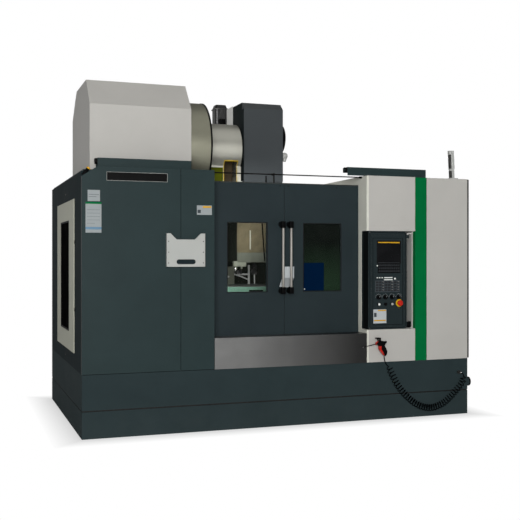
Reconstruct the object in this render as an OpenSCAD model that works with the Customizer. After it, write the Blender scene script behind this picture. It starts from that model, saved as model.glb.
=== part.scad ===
// Vertical machining center: guarded milling machine with two sliding doors, a tool magazine on the roof,
// a pivoting control panel and an air gun on a coiled hose.
// The origin is on the floor at the centre of the enclosure's footprint. +X is to the operator's right,
// +Y is to the back and +Z is up. Sizes are in millimetres.

/* [Enclosure widths] */
// Width of the cabinet left of the doors
left_cab_w = 1052; // [1000:1:1200]
// Width of the narrow front panel beside the doors
left_inner_w = 277; // [200:1:330]
// Width of the door opening
door_w = 1353; // [1300:1:1450]
// Width of the operator bay that holds the control panel
bay_w = 469; // [460:1:560]
// Width of the coloured stripe
stripe_w = 113; // [60:1:160]
// Width of the last front panel on the right
end_panel_w = 413; // [380:1:560]

/* [Enclosure heights] */
// Height of the base with both skirts
base_h = 491; // [440:1:560]
// Height of the lower skirt
lower_skirt_h = 207; // [160:1:260]
// Height of the groove between the skirts
groove_h = 10; // [6:1:20]
// Depth of the groove between the skirts
groove_d = 5; // [3:1:20]
// From the top of the doors to the top of the front panels
header_h = 80; // [50:1:120]
// How far the roof lies below the top of the front panels
roof_drop = 38; // [30:1:60]
// Chamfer of the top left corner of the front panel, across
corner_w = 120; // [60:1:200]
// Chamfer of the top left corner of the front panel, down
corner_h = 78; // [40:1:120]

/* [Depths] */
// From the front of the enclosure to the spindle axis
front_room = 895; // [880:1:960]
// From the spindle axis to the front of the column
throat = 560; // [550:1:640]
// Depth of the column
column_d = 510; // [460:1:600]
// Free space behind the column
rear_room = 85; // [60:1:200]
// How far the doors lie behind the front
door_recess = 170; // [160:1:190]
// How far the chamber's front frame lies behind the front
frame_recess = 225; // [220:1:240]
// Depth of the folded edges of the front panels
fold_d = 40; // [30:1:50]
// Thickness of the folded sheets
sheet_t = 3; // [2:0.5:5]
// Thickness of the plain side, rear and chamber walls
wall_t = 15; // [10:1:25]
// Thickness of the base skirts
skirt_t = 50; // [30:1:70]
// Seam between two neighbouring front panels
seam_gap = 3; // [1:0.5:5]

/* [Doors] */
// From the top of the base to the bottom of the doors
door_lift = 209; // [190:1:230]
// Height of a door
door_h = 1308; // [1260:1:1330]
// Thickness of a door
door_t = 38; // [30:1:42]
// From the middle of the opening to the line between the doors
seam_shift = 12; // [0:1:30]
// Half of the gap between the two closed doors
door_gap = 3; // [2.5:0.5:6]
// How far a door reaches behind the cabinet beside it
door_lap = 52; // [30:1:70]
// Width of a window
window_w = 345; // [280:1:400]
// Height of a window
window_h = 574; // [480:1:700]
// From the bottom of a door to its window
window_lift = 402; // [340:1:480]
// From the middle of the opening to the middle of a window
window_off = 339; // [300:1:360]
// Length of a handle bar
handle_l = 550; // [400:1:640]
// Radius of a handle bar
handle_r = 11; // [8:0.5:14]
// How far a handle bar stands out from its door
handle_out = 72; // [60:1:90]
// From the line between the doors to a handle
handle_off = 36; // [32:0.5:60]
// Top of the stainless apron above the base
apron_h = 250; // [200:1:270]
// Running gap between pieces that slide on each other
run_gap = 0.5; // [0.3:0.1:1]

/* [Machine] */
// Height of the bed
bed_h = 820; // [780:1:860]
// Height of the ways on the bed and on the saddle
way_h = 30; // [24:1:40]
// Height of the saddle's body
saddle_h = 165.5; // [150:0.5:180]
// Thickness of the work table
table_t = 89.5; // [70:0.5:110]
// Length of the work table
table_l = 1360; // [1200:10:1380]
// Width of the work table
table_w = 600; // [520:10:620]
// From the table's top to the spindle nose at rest
nose_gap = 212; // [200:1:400]
// Radius of the spindle housing
housing_r = 130; // [110:1:150]
// Height of the column above the bed
column_h = 1740; // [1600:1:1900]
// Width of the column
column_w = 640; // [560:1:700]
// Width of the spindle head and its cover
head_w = 370; // [320:1:400]
// Depth of the head cover
cover_d = 320; // [260:1:360]
// Height of the head cover
cover_h = 700; // [620:1:740]
// From the spindle nose to the top of the head's front, where the cover stands
head_front_h = 722; // [680:1:760]
// From the spindle nose to the top of the head's slide on the column
head_slide_h = 832; // [780:1:860]
// From the spindle nose to the underside of the head
head_chin_h = 162; // [140:1:200]
// Depth of the head's tower behind the cover
tower_d = 190; // [150:1:220]

/* [Tool magazine] */
// Width of the magazine cover
mag_w = 840; // [760:1:900]
// From the left side of the enclosure to the magazine cover
mag_inset = 108; // [60:1:140]
// Height of the magazine cover above the roof
mag_h = 800; // [700:1:860]
// Depth of the magazine cover
mag_d = 1030; // [900:1:1100]
// Height of the sloping faces at the top of the magazine cover
mag_slope = 227; // [160:1:260]
// Radius of the large drum guard
drum_r = 400; // [340:1:420]
// Width of the large drum guard
drum_w = 189; // [150:1:220]
// Radius of the small drum guard
hub_r = 232; // [180:1:260]
// Wall of the small drum guard
hub_wall = 6; // [4:1:12]

/* [Control panel] */
// Width of the control panel
panel_w = 369; // [340:1:372]
// Height of the control panel
panel_face_h = 844; // [800:1:900]
// Depth of the control panel
panel_d = 140; // [100:1:142]
// From the top of the base to the bottom of the control panel
panel_lift = 280; // [240:1:320]
// Width of the screen, 10.4 inches across its diagonal
screen_w = 211; // [180:1:240]
// Height of the screen
screen_h = 158; // [130:1:180]
// Radius of the two hinge pins
post_r = 9; // [6:0.5:12]

/* [Hidden] */
$fn = 32;

// Widths worked out from the panels
width = left_cab_w + door_w + bay_w + stripe_w + end_panel_w;
hw = width / 2;
x_door0 = -hw + left_cab_w;
x_door1 = x_door0 + door_w;
x_mid = (x_door0 + x_door1) / 2;
x_seam = x_mid - seam_shift;
x_stripe = x_door1 + bay_w;
x_end = x_stripe + stripe_w;

// Depths worked out from the spindle outwards
depth = front_room + throat + column_d + rear_room;
fy = -depth / 2;
by = depth / 2;
door_y = fy + door_recess;
frame_y = fy + frame_recess;
spindle_y = fy + front_room;
column_y = spindle_y + throat;
bay_back_y = door_y - 7;

// Heights
door_z0 = base_h + door_lift;
door_z1 = door_z0 + door_h;
front_top = door_z1 + header_h;
roof_z = front_top - roof_drop;
window_z0 = door_z0 + window_lift;
window_z1 = window_z0 + window_h;
rail_top = door_z1 + run_gap + 8.5;

// Machine inside
spindle_x = x_mid - 33.5;
saddle_z0 = bed_h + way_h + run_gap;
saddle_z1 = saddle_z0 + saddle_h;
table_z0 = saddle_z1 + way_h + run_gap;
table_z = table_z0 + table_t;
table_y = spindle_y - 95;
nose_z = table_z + nose_gap;
guide_d = 36;
head_back = column_y - guide_d - run_gap;
cover_y = spindle_y - 270;
cover_z = nose_z + head_front_h;
cover_top = cover_z + cover_h;
cover_back = cover_y + cover_d;
column_z1 = bed_h + column_h;
chamber_x0 = -hw + 355;
chamber_x1 = hw - 280;

// Magazine
mag_x0 = -hw + mag_inset;
mag_x1 = mag_x0 + mag_w;
mag_y = spindle_y - 570;
drum_y = spindle_y - 160;
drum_z = roof_z + 290;
hub_x1 = spindle_x - head_w / 2 - 50;

// Control panel
panel_x0 = x_door1 + 16;
panel_x1 = panel_x0 + panel_w;
panel_z0 = base_h + panel_lift;
panel_z1 = panel_z0 + panel_face_h;
post_x = panel_x1 + 35;
post_y = fy + 50;
lug_h = 12;

// Helpers
module blk(x0, x1, y0, y1, z0, z1) {
  translate([x0, y0, z0]) cube([x1 - x0, y1 - y0, z1 - z0]);
}
module rod_x(x0, x1, y, z, r, sides = 32) {
  translate([x0, y, z]) rotate([0, 90, 0]) cylinder(r = r, h = x1 - x0, $fn = sides);
}
module rod_y(x, y0, y1, z, r, sides = 32) {
  translate([x, y0, z]) rotate([-90, 0, 0]) cylinder(r = r, h = y1 - y0, $fn = sides);
}
module rod_z(x, y, z0, z1, r, sides = 32) {
  translate([x, y, z0]) cylinder(r = r, h = z1 - z0, $fn = sides);
}
// Sweeps an outline of [y, z] points from x0 to x1
module side_profile(x0, x1, pts) {
  translate([x0, 0, 0]) rotate([90, 0, 90]) linear_extrude(x1 - x0) polygon(pts);
}
// Sweeps an outline of [x, z] points from y0 to y1
module front_profile(y0, y1, pts) {
  translate([0, y1, 0]) rotate([90, 0, 0]) linear_extrude(y1 - y0) polygon(pts);
}
// A rectangle in the front plane with round corners, from y0 to y1
module round_plate(x0, x1, y0, y1, z0, z1, r) {
  translate([0, y1, 0]) rotate([90, 0, 0]) linear_extrude(y1 - y0) hull()
    for (x = [x0 + r, x1 - r]) for (z = [z0 + r, z1 - r]) translate([x, z]) circle(r = r, $fn = 24);
}
// A folded sheet panel: a front skin with edges that turn back
module tray(x0, x1, y0, z0, z1, d) {
  difference() {
    blk(x0, x1, y0, y0 + d, z0, z1);
    blk(x0 + sheet_t, x1 - sheet_t, y0 + sheet_t, y0 + d + 1, z0 + sheet_t, z1 - sheet_t);
  }
}
module ring_wall(z0, z1, inset) {
  difference() {
    blk(-hw + inset, hw - inset, fy + inset, by - inset, z0, z1);
    blk(-hw + skirt_t, hw - skirt_t, fy + skirt_t, by - skirt_t, z0 - 1, z1 + 1);
  }
}
// A round tube whose route lies in the plane Y = y, through [x, z] points
module flat_tube(pts, y, r, sides) {
  n = len(pts);
  function way(i) = let(d = pts[min(i + 1, n - 1)] - pts[max(i - 1, 0)]) d / norm(d);
  ring = [for (i = [0:n - 1]) let(t = way(i)) for (k = [0:sides - 1]) let(a = 360 * k / sides)
    [pts[i][0] - r * cos(a) * t[1], y + r * sin(a), pts[i][1] + r * cos(a) * t[0]]];
  faces = concat(
    [[for (k = [0:sides - 1]) k]],
    [for (i = [0:n - 2]) for (k = [0:sides - 1]) let(m = (k + 1) % sides)
      [i * sides + k, (i + 1) * sides + k, (i + 1) * sides + m, i * sides + m]],
    [[for (k = [sides - 1:-1:0]) (n - 1) * sides + k]]);
  polyhedron(points = ring, faces = faces, convexity = 6);
}

// Base
module base_skirt_lower() color([0.19, 0.23, 0.24]) {
  ring_wall(0, lower_skirt_h, 0);
  ring_wall(lower_skirt_h, lower_skirt_h + groove_h, groove_d);
}
module base_skirt_upper() color([0.19, 0.23, 0.24]) {
  ring_wall(lower_skirt_h + groove_h, base_h, 0);
  rod_x(hw - 1, hw + 26, fy + 44, base_h - 212, 40);
  rod_x(hw + 26, hw + 40, fy + 44, base_h - 212, 33);
}

// Machine inside the enclosure
bed_x0 = spindle_x - 635;
bed_x1 = spindle_x + 645;
pad_h = 30;
module machine_bed() color([0.35, 0.38, 0.36]) {
  difference() {
    front_profile(fy + 325, column_y + column_d, [[bed_x0 - 120, pad_h], [bed_x0 - 120, 330], [bed_x0, 520],
      [bed_x0, bed_h], [bed_x1, bed_h], [bed_x1, 520], [bed_x1 + 120, 330], [bed_x1 + 120, pad_h]]);
    for (y = [fy + 480, fy + 900, fy + 1320]) for (s = [[bed_x0 - 121, bed_x0 - 60], [bed_x1 + 60, bed_x1 + 121]])
      blk(s[0], s[1], y, y + 300, 110, 290);
  }
  for (x = [spindle_x - 380, spindle_x + 310]) blk(x, x + 80, fy + 325, column_y - 10, bed_h, bed_h + way_h);
  for (x = [bed_x0 - 60, spindle_x, bed_x1 + 60]) for (y = [fy + 420, column_y + column_d - 120])
    rod_z(x, y, 0, pad_h, 70);
}
module column() color([0.62, 0.61, 0.56]) difference() {
  side_profile(spindle_x - column_w / 2, spindle_x + column_w / 2, [[column_y, bed_h], [column_y + column_d, bed_h],
    [column_y + column_d, bed_h + 680], [column_y + column_d - 110, column_z1], [column_y, column_z1]]);
  for (z = [bed_h + 180, bed_h + 680, bed_h + 1180]) for (x = [spindle_x - column_w / 2 - 1, spindle_x + column_w / 2 - 59])
    blk(x, x + 60, column_y + 90, column_y + column_d - 150, z, z + 400);
}
module z_guides() color([0.6, 0.6, 0.62]) {
  for (x = [spindle_x - 215, spindle_x + 165]) difference() {
    blk(x, x + 50, column_y - guide_d, column_y, bed_h + 400, column_z1 - 20);
    for (s = [x - 1, x + 43]) blk(s, s + 8, column_y - 24, column_y - 12, bed_h + 399, column_z1 - 19);
  }
  rod_z(spindle_x, column_y - 18, bed_h + 420, column_z1 - 20, 16);
  for (z = [bed_h + 400, column_z1 - 60]) blk(spindle_x - 60, spindle_x + 60, column_y - 34, column_y, z, z + 40);
}
module saddle() color([0.35, 0.38, 0.36]) {
  side_profile(spindle_x - 580, spindle_x + 580, [[table_y - 275, saddle_z0], [table_y + 275, saddle_z0],
    [table_y + 275, saddle_z1 - 40], [table_y + 245, saddle_z1], [table_y - 245, saddle_z1],
    [table_y - 275, saddle_z1 - 40]]);
  for (y = [table_y - 195, table_y + 115]) blk(spindle_x - 580, spindle_x + 580, y, y + 80, saddle_z1, saddle_z1 + way_h);
  rod_x(spindle_x - 560, spindle_x + 560, table_y, saddle_z1 + 12, 13);
}
// Tee slots run the whole length of the table
module tee_slot(y) {
  blk(spindle_x - table_l / 2 - 1, spindle_x + table_l / 2 + 1, y - 9, y + 9, table_z - 34, table_z + 1);
  blk(spindle_x - table_l / 2 - 1, spindle_x + table_l / 2 + 1, y - 16, y + 16, table_z - 34, table_z - 18);
}
module work_table() color([0.45, 0.46, 0.45]) difference() {
  blk(spindle_x - table_l / 2, spindle_x + table_l / 2, table_y - table_w / 2, table_y + table_w / 2, table_z0, table_z);
  for (i = [-2:2]) tee_slot(table_y + 100 * i);
  for (s = [-1, 1]) blk(spindle_x - table_l / 2 - 1, spindle_x + table_l / 2 + 1,
    table_y + s * (table_w / 2 + 5) - 25, table_y + s * (table_w / 2 + 5) + 25, table_z0 - 1, table_z0 + 34);
}
module spindle_head() color([0.62, 0.6, 0.5]) {
  side_profile(spindle_x - head_w / 2, spindle_x + head_w / 2, [[spindle_y - 190, nose_z + head_chin_h + 70],
    [spindle_y - 120, nose_z + head_chin_h], [head_back - 170, nose_z + head_chin_h],
    [head_back, nose_z + head_chin_h + 98], [head_back, nose_z + head_slide_h],
    [cover_back + tower_d, nose_z + head_slide_h + 20], [cover_back + tower_d, cover_top + 10],
    [cover_back + 0.3, cover_top + 10], [cover_back + 0.3, cover_z - 0.3], [spindle_y - 190, cover_z - 0.3]]);
  rod_z(spindle_x, spindle_y, nose_z + 92, nose_z + head_chin_h + 1, housing_r, 64);
  rod_z(spindle_x, spindle_y, nose_z + 60 + run_gap, nose_z + 92, housing_r - 14, 64);
}
module spindle() color([0.7, 0.7, 0.72]) difference() {
  union() {
    rod_z(spindle_x, spindle_y, nose_z, nose_z + 34, 52, 48);
    rod_z(spindle_x, spindle_y, nose_z + 34, nose_z + 60, 64, 48);
  }
  translate([spindle_x, spindle_y, nose_z - 0.1]) cylinder(r1 = 23, r2 = 15, h = 56);
  for (s = [-1, 1]) blk(spindle_x + s * 43 - 10, spindle_x + s * 43 + 10, spindle_y - 8, spindle_y + 8, nose_z - 1, nose_z + 9);
}
module coolant_block() color([0.85, 0.86, 0.85]) {
  blk(spindle_x - 250, spindle_x - 140, spindle_y - 200, spindle_y - 150, nose_z - 42, nose_z + 8);
  blk(spindle_x - 160, spindle_x - 144, spindle_y - 151, spindle_y - 95, nose_z - 10, nose_z + 8);
  blk(spindle_x - 160, spindle_x - 144, spindle_y - 110, spindle_y - 95, nose_z + 7, nose_z + head_chin_h - 0.3);
  for (x = [spindle_x - 225, spindle_x - 175]) rod_z(x, spindle_y - 175, nose_z - 62, nose_z - 42, 8, 16);
}
module head_cover() color([0.26, 0.27, 0.28])
  side_profile(spindle_x - head_w / 2, spindle_x + head_w / 2, [[cover_y, cover_z], [cover_back, cover_z],
    [cover_back, cover_top], [cover_y + 60, cover_top], [cover_y, cover_top - 58]]);
module head_side_disc() color([0.05, 0.05, 0.05])
  translate([spindle_x + head_w / 2, cover_y + 168, cover_top - 300]) rotate([0, 90, 0])
    cylinder(r1 = 145, r2 = 130, h = 42, $fn = 48);
module head_side_elbow() color([0.6, 0.6, 0.58])
  translate([spindle_x + head_w / 2, cover_y + 50, cover_top - 462]) {
    rotate([0, 90, 0]) cylinder(r = 26, h = 34);
    translate([34, 0, 0]) sphere(r = 30);
    translate([34, 0, -52]) cylinder(r1 = 12, r2 = 29, h = 52);
  }
motor_x = spindle_x - 133;
motor_y = column_y + 80;
module z_axis_motor() color([0.05, 0.05, 0.05]) difference() {
  union() {
    blk(motor_x - 70, motor_x + 70, motor_y - 70, motor_y + 70, column_z1, column_z1 + 20);
    translate([motor_x, motor_y, column_z1 + 20]) linear_extrude(270) offset(r = 26) square([76, 76], center = true);
    translate([motor_x, motor_y, column_z1 + 290]) linear_extrude(34, scale = 0.8) offset(r = 26) square([76, 76], center = true);
  }
  for (a = [-28:14:28]) {
    blk(motor_x + a - 2, motor_x + a + 2, motor_y - 65, motor_y - 59, column_z1 + 40, column_z1 + 280);
    blk(motor_x - 65, motor_x - 59, motor_y + a - 2, motor_y + a + 2, column_z1 + 40, column_z1 + 280);
  }
}
module z_drive_housing() color([0.62, 0.61, 0.56]) side_profile(spindle_x - 60, spindle_x + 140,
  [[column_y + 10, column_z1], [column_y + 220, column_z1], [column_y + 220, column_z1 + 150], [column_y + 10, column_z1 + 190]]);

// Tool magazine
module magazine_cover() color([0.7, 0.69, 0.66]) side_profile(mag_x0, mag_x1, [[mag_y, roof_z + wall_t],
  [mag_y + mag_d, roof_z + wall_t], [mag_y + mag_d, roof_z + mag_h - mag_slope],
  [mag_y + mag_d - 180, roof_z + mag_h - mag_slope * 0.29], [mag_y + mag_d - 270, roof_z + mag_h],
  [mag_y + 200, roof_z + mag_h], [mag_y, roof_z + mag_h - mag_slope]]);
module magazine_drum() color([0.68, 0.66, 0.58]) rod_x(mag_x1, mag_x1 + drum_w - 14, drum_y, drum_z, drum_r, 72);
module magazine_rim() color([0.06, 0.06, 0.06]) difference() {
  rod_x(mag_x1 + drum_w - 14, mag_x1 + drum_w, drum_y, drum_z, drum_r + 3, 72);
  rod_x(mag_x1 + drum_w - 13, mag_x1 + drum_w + 1, drum_y, drum_z, hub_r + 0.3, 72);
}
hub_x0 = mag_x1 + drum_w - 13;
// The tool chute below the small guard hangs into the chamber
chute_z = roof_z - 50;
chute_r = hub_r * 0.75;
module magazine_hub() color([0.68, 0.66, 0.58]) difference() {
  union() {
    rod_x(hub_x0, hub_x1, drum_y, drum_z, hub_r, 64);
    blk(hub_x0 + 16, hub_x1, drum_y - chute_r, drum_y + chute_r, chute_z, drum_z - hub_r * 0.64);
  }
  rod_x(hub_x0 - 1, hub_x1 - hub_wall, drum_y, drum_z, hub_r - hub_wall, 64);
  blk(hub_x0 + 16 + hub_wall, hub_x1 - hub_wall, drum_y - chute_r + hub_wall, drum_y + chute_r - hub_wall,
    chute_z - 1, drum_z - hub_r * 0.6);
  blk(hub_x1 - 155, hub_x1 - 41, drum_y - hub_r - 1, drum_y - 60, chute_z - 1, drum_z - 112);
}

// Left cabinet
x_left_seam = x_door0 - left_inner_w;
module left_front_panel() color([0.19, 0.23, 0.24]) difference() {
  front_profile(fy, fy + fold_d, [[-hw, base_h], [x_left_seam - seam_gap / 2, base_h], [x_left_seam - seam_gap / 2, front_top],
    [-hw + corner_w, front_top], [-hw, front_top - corner_h]]);
  front_profile(fy + sheet_t, fy + fold_d + 1, [[-hw + sheet_t, base_h + sheet_t],
    [x_left_seam - seam_gap / 2 - sheet_t, base_h + sheet_t], [x_left_seam - seam_gap / 2 - sheet_t, front_top - sheet_t],
    [-hw + corner_w, front_top - sheet_t], [-hw + sheet_t, front_top - corner_h - sheet_t]]);
}
module left_inner_panel() color([0.19, 0.23, 0.24]) {
  tray(x_left_seam + seam_gap / 2, x_door0, fy, base_h, front_top, fold_d);
  blk(x_door0 - 20, x_door0, fy + fold_d, bay_back_y, base_h, front_top);
}
hatch_y0 = fy + 416;
hatch_y1 = by - 505;
hatch_z0 = base_h + 125;
hatch_z1 = roof_z - 189;
module left_side_panel() color([0.13, 0.16, 0.16]) difference() {
  union() {
    blk(-hw, -hw + wall_t, fy + fold_d, by, base_h, roof_z);
    blk(-hw, -hw + fold_d, fy + fold_d, fy + fold_d + 25, base_h, roof_z);
  }
  blk(-hw - 1, -hw + wall_t + 1, hatch_y0 + 20, hatch_y1 - 20, hatch_z0 + 20, hatch_z1 - 20);
}
module left_side_hatch() color([0.55, 0.54, 0.49]) difference() {
  blk(-hw - 6, -hw, hatch_y0, hatch_y1, hatch_z0, hatch_z1);
  blk(-hw - 7, -hw + 1, hatch_y0 + 303, hatch_y1 - 244, hatch_z0 + 154, hatch_z1 - 161);
}
module left_side_window() color([0.03, 0.035, 0.035])
  blk(-hw, -hw + 8, hatch_y0 + 280, hatch_y1 - 220, hatch_z0 + 130, hatch_z1 - 137);
module left_roof_panel() color([0.19, 0.23, 0.24])
  blk(-hw + wall_t, mag_x1 - 8, fy + fold_d, by - wall_t, roof_z, roof_z + wall_t);

// Chamber
module chamber_front_frame() color([0.3, 0.32, 0.32]) difference() {
  blk(chamber_x0, chamber_x1, frame_y, frame_y + wall_t, base_h, rail_top + 2);
  blk(x_door0 + 4, x_door1 - 4, frame_y - 1, frame_y + wall_t + 1, door_z0 + 100, door_z1 - 23);
}
module chamber_walls() color([0.3, 0.32, 0.32]) {
  blk(chamber_x0, chamber_x0 + wall_t, frame_y + wall_t, by - wall_t, base_h, roof_z);
  blk(chamber_x1 - wall_t, chamber_x1, frame_y + wall_t, by - wall_t, base_h, roof_z - 10);
}
// Sloping sheets that lead chips to the bed
module chip_slope(x_wall, x_bed) {
  front_profile(frame_y + wall_t, column_y + column_d, [[x_wall, bed_h + 140], [x_wall, bed_h + 150],
    [x_bed, bed_h - 60], [x_bed, bed_h - 70]]);
}
module chip_slopes() color([0.5, 0.52, 0.5]) {
  chip_slope(chamber_x0 + wall_t, bed_x0 - 0.2);
  chip_slope(chamber_x1 - wall_t, bed_x1 + 0.2);
}
module door_rails() color([0.4, 0.41, 0.41]) {
  blk(chamber_x0 + 5, chamber_x1 - 10, door_y + 2, frame_y, door_z0 - 20, door_z0 - run_gap);
  blk(chamber_x0 + 5, chamber_x1 - 10, door_y - 3, frame_y, door_z1 + run_gap, rail_top);
}

// Doors
module door_leaf(x0, x1, xw) difference() {
  union() {
    tray(x0, x1, door_y, door_z0, door_z1, door_t);
    blk(xw - window_w / 2 - 24, xw + window_w / 2 + 24, door_y + 1, door_y + 30, window_z0 - 24, window_z1 + 24);
    for (z = [door_z0 + 180, door_z1 - 160]) blk(x0 + 1, x1 - 1, door_y + 1, door_y + 26, z, z + 50);
  }
  blk(xw - window_w / 2, xw + window_w / 2, door_y - 1, door_y + door_t + 1, window_z0, window_z1);
}
module door_glass(xw) blk(xw - window_w / 2, xw + window_w / 2, door_y + 14, door_y + 22, window_z0, window_z1);
handle_z0 = window_z0 + 10;
module door_handle(x) {
  rod_z(x, door_y - handle_out, handle_z0, handle_z0 + handle_l, handle_r, 24);
}
module handle_bracket(x, z) {
  side_profile(x - 14, x + 14, [[door_y, z - 6], [door_y - handle_out + 4, z - 22], [door_y - handle_out - 16, z - 14],
    [door_y - handle_out - 16, z + 16], [door_y - handle_out + 4, z + 22], [door_y, z + 12]]);
}
module handle_set(x) {
  door_handle(x);
  handle_bracket(x, handle_z0);
  handle_bracket(x, handle_z0 + handle_l);
}
module door_left() color([0.17, 0.2, 0.21]) door_leaf(x_door0 - door_lap, x_seam - door_gap, x_mid - window_off);
module door_right() color([0.17, 0.2, 0.21]) door_leaf(x_seam + door_gap, x_door1 + door_lap, x_mid + window_off);
module door_left_glass() color([0.1, 0.13, 0.12, 0.4]) door_glass(x_mid - window_off);
module door_right_glass() color([0.1, 0.13, 0.12, 0.4]) door_glass(x_mid + window_off);
module door_left_handle() color([0.75, 0.73, 0.7]) handle_set(x_seam - handle_off);
module door_right_handle() color([0.75, 0.73, 0.7]) handle_set(x_seam + handle_off);
module front_apron() color([0.4, 0.4, 0.4]) {
  blk(x_door0 + 1, x_door1 - 1, fy - 6, fy + 6, base_h, base_h + apron_h);
  blk(x_door0 + 1, x_door1 - 1, fy + 6, bay_back_y, base_h + apron_h - 12, base_h + apron_h);
}

// Operator bay and the right cabinet
module bay_panels() color([0.7, 0.69, 0.67]) {
  tray(x_door1 + 20, x_stripe - 1, fy, panel_z1 + 1, front_top, fold_d);
  tray(x_door1 + 20, x_stripe - 1, fy, base_h, panel_z0 - 1, fold_d);
}
module bay_return() color([0.7, 0.69, 0.67]) {
  side_profile(x_door1, x_door1 + 20, [[fy, base_h], [bay_back_y, base_h], [bay_back_y, rail_top + 3],
    [by - wall_t, rail_top + 3], [by - wall_t, front_top - 10], [fy + fold_d, front_top], [fy, front_top],
    [fy, panel_z1 + 1], [bay_back_y - 15, panel_z1 + 1], [bay_back_y - 15, panel_z0 - 1], [fy, panel_z0 - 1]]);
  blk(x_door1, x_door1 + sheet_t, fy + 100, bay_back_y - 15, panel_z0 - 1, panel_z1 + 1);
}
module bay_recess() color([0.66, 0.65, 0.63]) {
  blk(x_door1 + 20, x_stripe - 1, bay_back_y - 15, bay_back_y, panel_z0 - 20, panel_z1 + 20);
  blk(x_stripe - 13, x_stripe - 1, fy + fold_d, bay_back_y - 15, panel_z0 - 20, panel_z1 + 20);
}
module stripe_panel() color([0, 0.38, 0.19]) tray(x_stripe, x_end - seam_gap / 2, fy, base_h, front_top - 3, fold_d);
module end_panel() color([0.7, 0.69, 0.67]) tray(x_end + seam_gap / 2, hw, fy, base_h, front_top - 3, fold_d);
module right_side_panel() color([0.6, 0.59, 0.57]) {
  blk(hw - wall_t, hw, fy + fold_d, by, base_h, front_top - 3);
  blk(hw, hw + 14, fy + 2, fy + 20, base_h + 4, front_top - 6);
  blk(hw, hw + 6, hatch_y0, hatch_y1, hatch_z0, hatch_z1);
  for (z = [hatch_z0 + 160, hatch_z1 - 200]) blk(hw + 6, hw + 18, hatch_y0 + 40, hatch_y0 + 64, z, z + 40);
}
module right_roof_panel() color([0.66, 0.65, 0.63])
  blk(x_door1 + 20, hw - wall_t, fy + fold_d, by - wall_t, roof_z, roof_z + wall_t);
module rear_panel() color([0.19, 0.23, 0.24]) {
  blk(-hw + wall_t, hw - wall_t, by - wall_t, by, base_h, roof_z);
  for (x = [-hw + 500, -hw + 1000]) blk(x, x + 14, by, by + 12, base_h + 60, roof_z - 60);
}
cab_x0 = spindle_x - 250;
cab_x1 = hw - 200;
cab_d = 415;
module electrical_cabinet() color([0.6, 0.59, 0.57]) difference() {
  union() {
    blk(cab_x0, cab_x1, by, by + cab_d - 20, 300, roof_z - 70);
    for (i = [0, 1]) let(w = (cab_x1 - cab_x0) / 2)
      blk(cab_x0 + i * w + 8, cab_x0 + (i + 1) * w - 8, by + cab_d - 20, by + cab_d, 320, roof_z - 90);
  }
  for (i = [0, 1]) for (k = [0:5]) let(w = (cab_x1 - cab_x0) / 2)
    blk(cab_x0 + i * w + 260, cab_x0 + i * w + 640, by + cab_d - 10, by + cab_d + 1, 420 + 36 * k, 434 + 36 * k);
}

// Control panel on its two hinge pins
module panel_pivot() color([0.05, 0.05, 0.05]) {
  for (z = [panel_z0 + 3, panel_z1 - 70]) rod_z(post_x, post_y, z, z + 57, post_r);
  for (z = [panel_z0 + 3, panel_z1 - 13 - lug_h]) blk(post_x, x_stripe - 13, post_y - 10, post_y + 10, z, z + lug_h);
}
module hinge_arm(z) difference() {
  union() {
    blk(panel_x1 - 1, post_x, post_y - 10, post_y + 10, z, z + 30);
    rod_z(post_x, post_y, z, z + 30, post_r + 7);
  }
  rod_z(post_x, post_y, z - 1, z + 31, post_r + run_gap);
}
module control_box() color([0.17, 0.2, 0.21]) {
  difference() {
    round_plate(panel_x0, panel_x1, fy, fy + panel_d, panel_z0, panel_z1, 22);
    difference() {
      round_plate(panel_x0 + 22, panel_x1 - 22, fy - 1, fy + 4, panel_z0 + 22, panel_z1 - 30, 10);
      round_plate(panel_x0 + 30, panel_x1 - 30, fy - 2, fy + 5, panel_z0 + 30, panel_z1 - 38, 8);
    }
    blk(panel_x0 + 52, panel_x1 - 30, fy - 1, fy + 3, panel_z0 + 476, panel_z0 + 480);
  }
  for (z = [panel_z0 + 20, panel_z1 - 60]) hinge_arm(z);
  for (z = [panel_z0 + 400, panel_z0 + 450, panel_z0 + 500]) rod_x(panel_x1 - 1, panel_x1 + 14, fy + 60, z, 12, 20);
}
screen_x0 = panel_x0 + 92;
screen_z0 = panel_z0 + 578;
module control_screen() color([0.02, 0.02, 0.025]) difference() {
  blk(screen_x0 - 12, screen_x0 + screen_w + 8, fy - 5, fy, screen_z0 - 14, screen_z0 + screen_h + 26);
  blk(screen_x0, screen_x0 + screen_w - 4, fy - 6, fy - 3, screen_z0, screen_z0 + screen_h - 4);
}
module key(x, z, w, h) blk(x, x + w, fy - 6, fy, z, z + h);
module control_keys() color([0.03, 0.035, 0.04]) {
  for (i = [0:7]) for (j = [0:3]) key(panel_x0 + 70 + i * 29, panel_z0 + 326 + j * 23, 22, 17);
  for (i = [0:9]) for (j = [0:2]) key(panel_x0 + 96 + i * 20.5, panel_z0 + 490 + j * 25, 16, 18);
}
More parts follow.
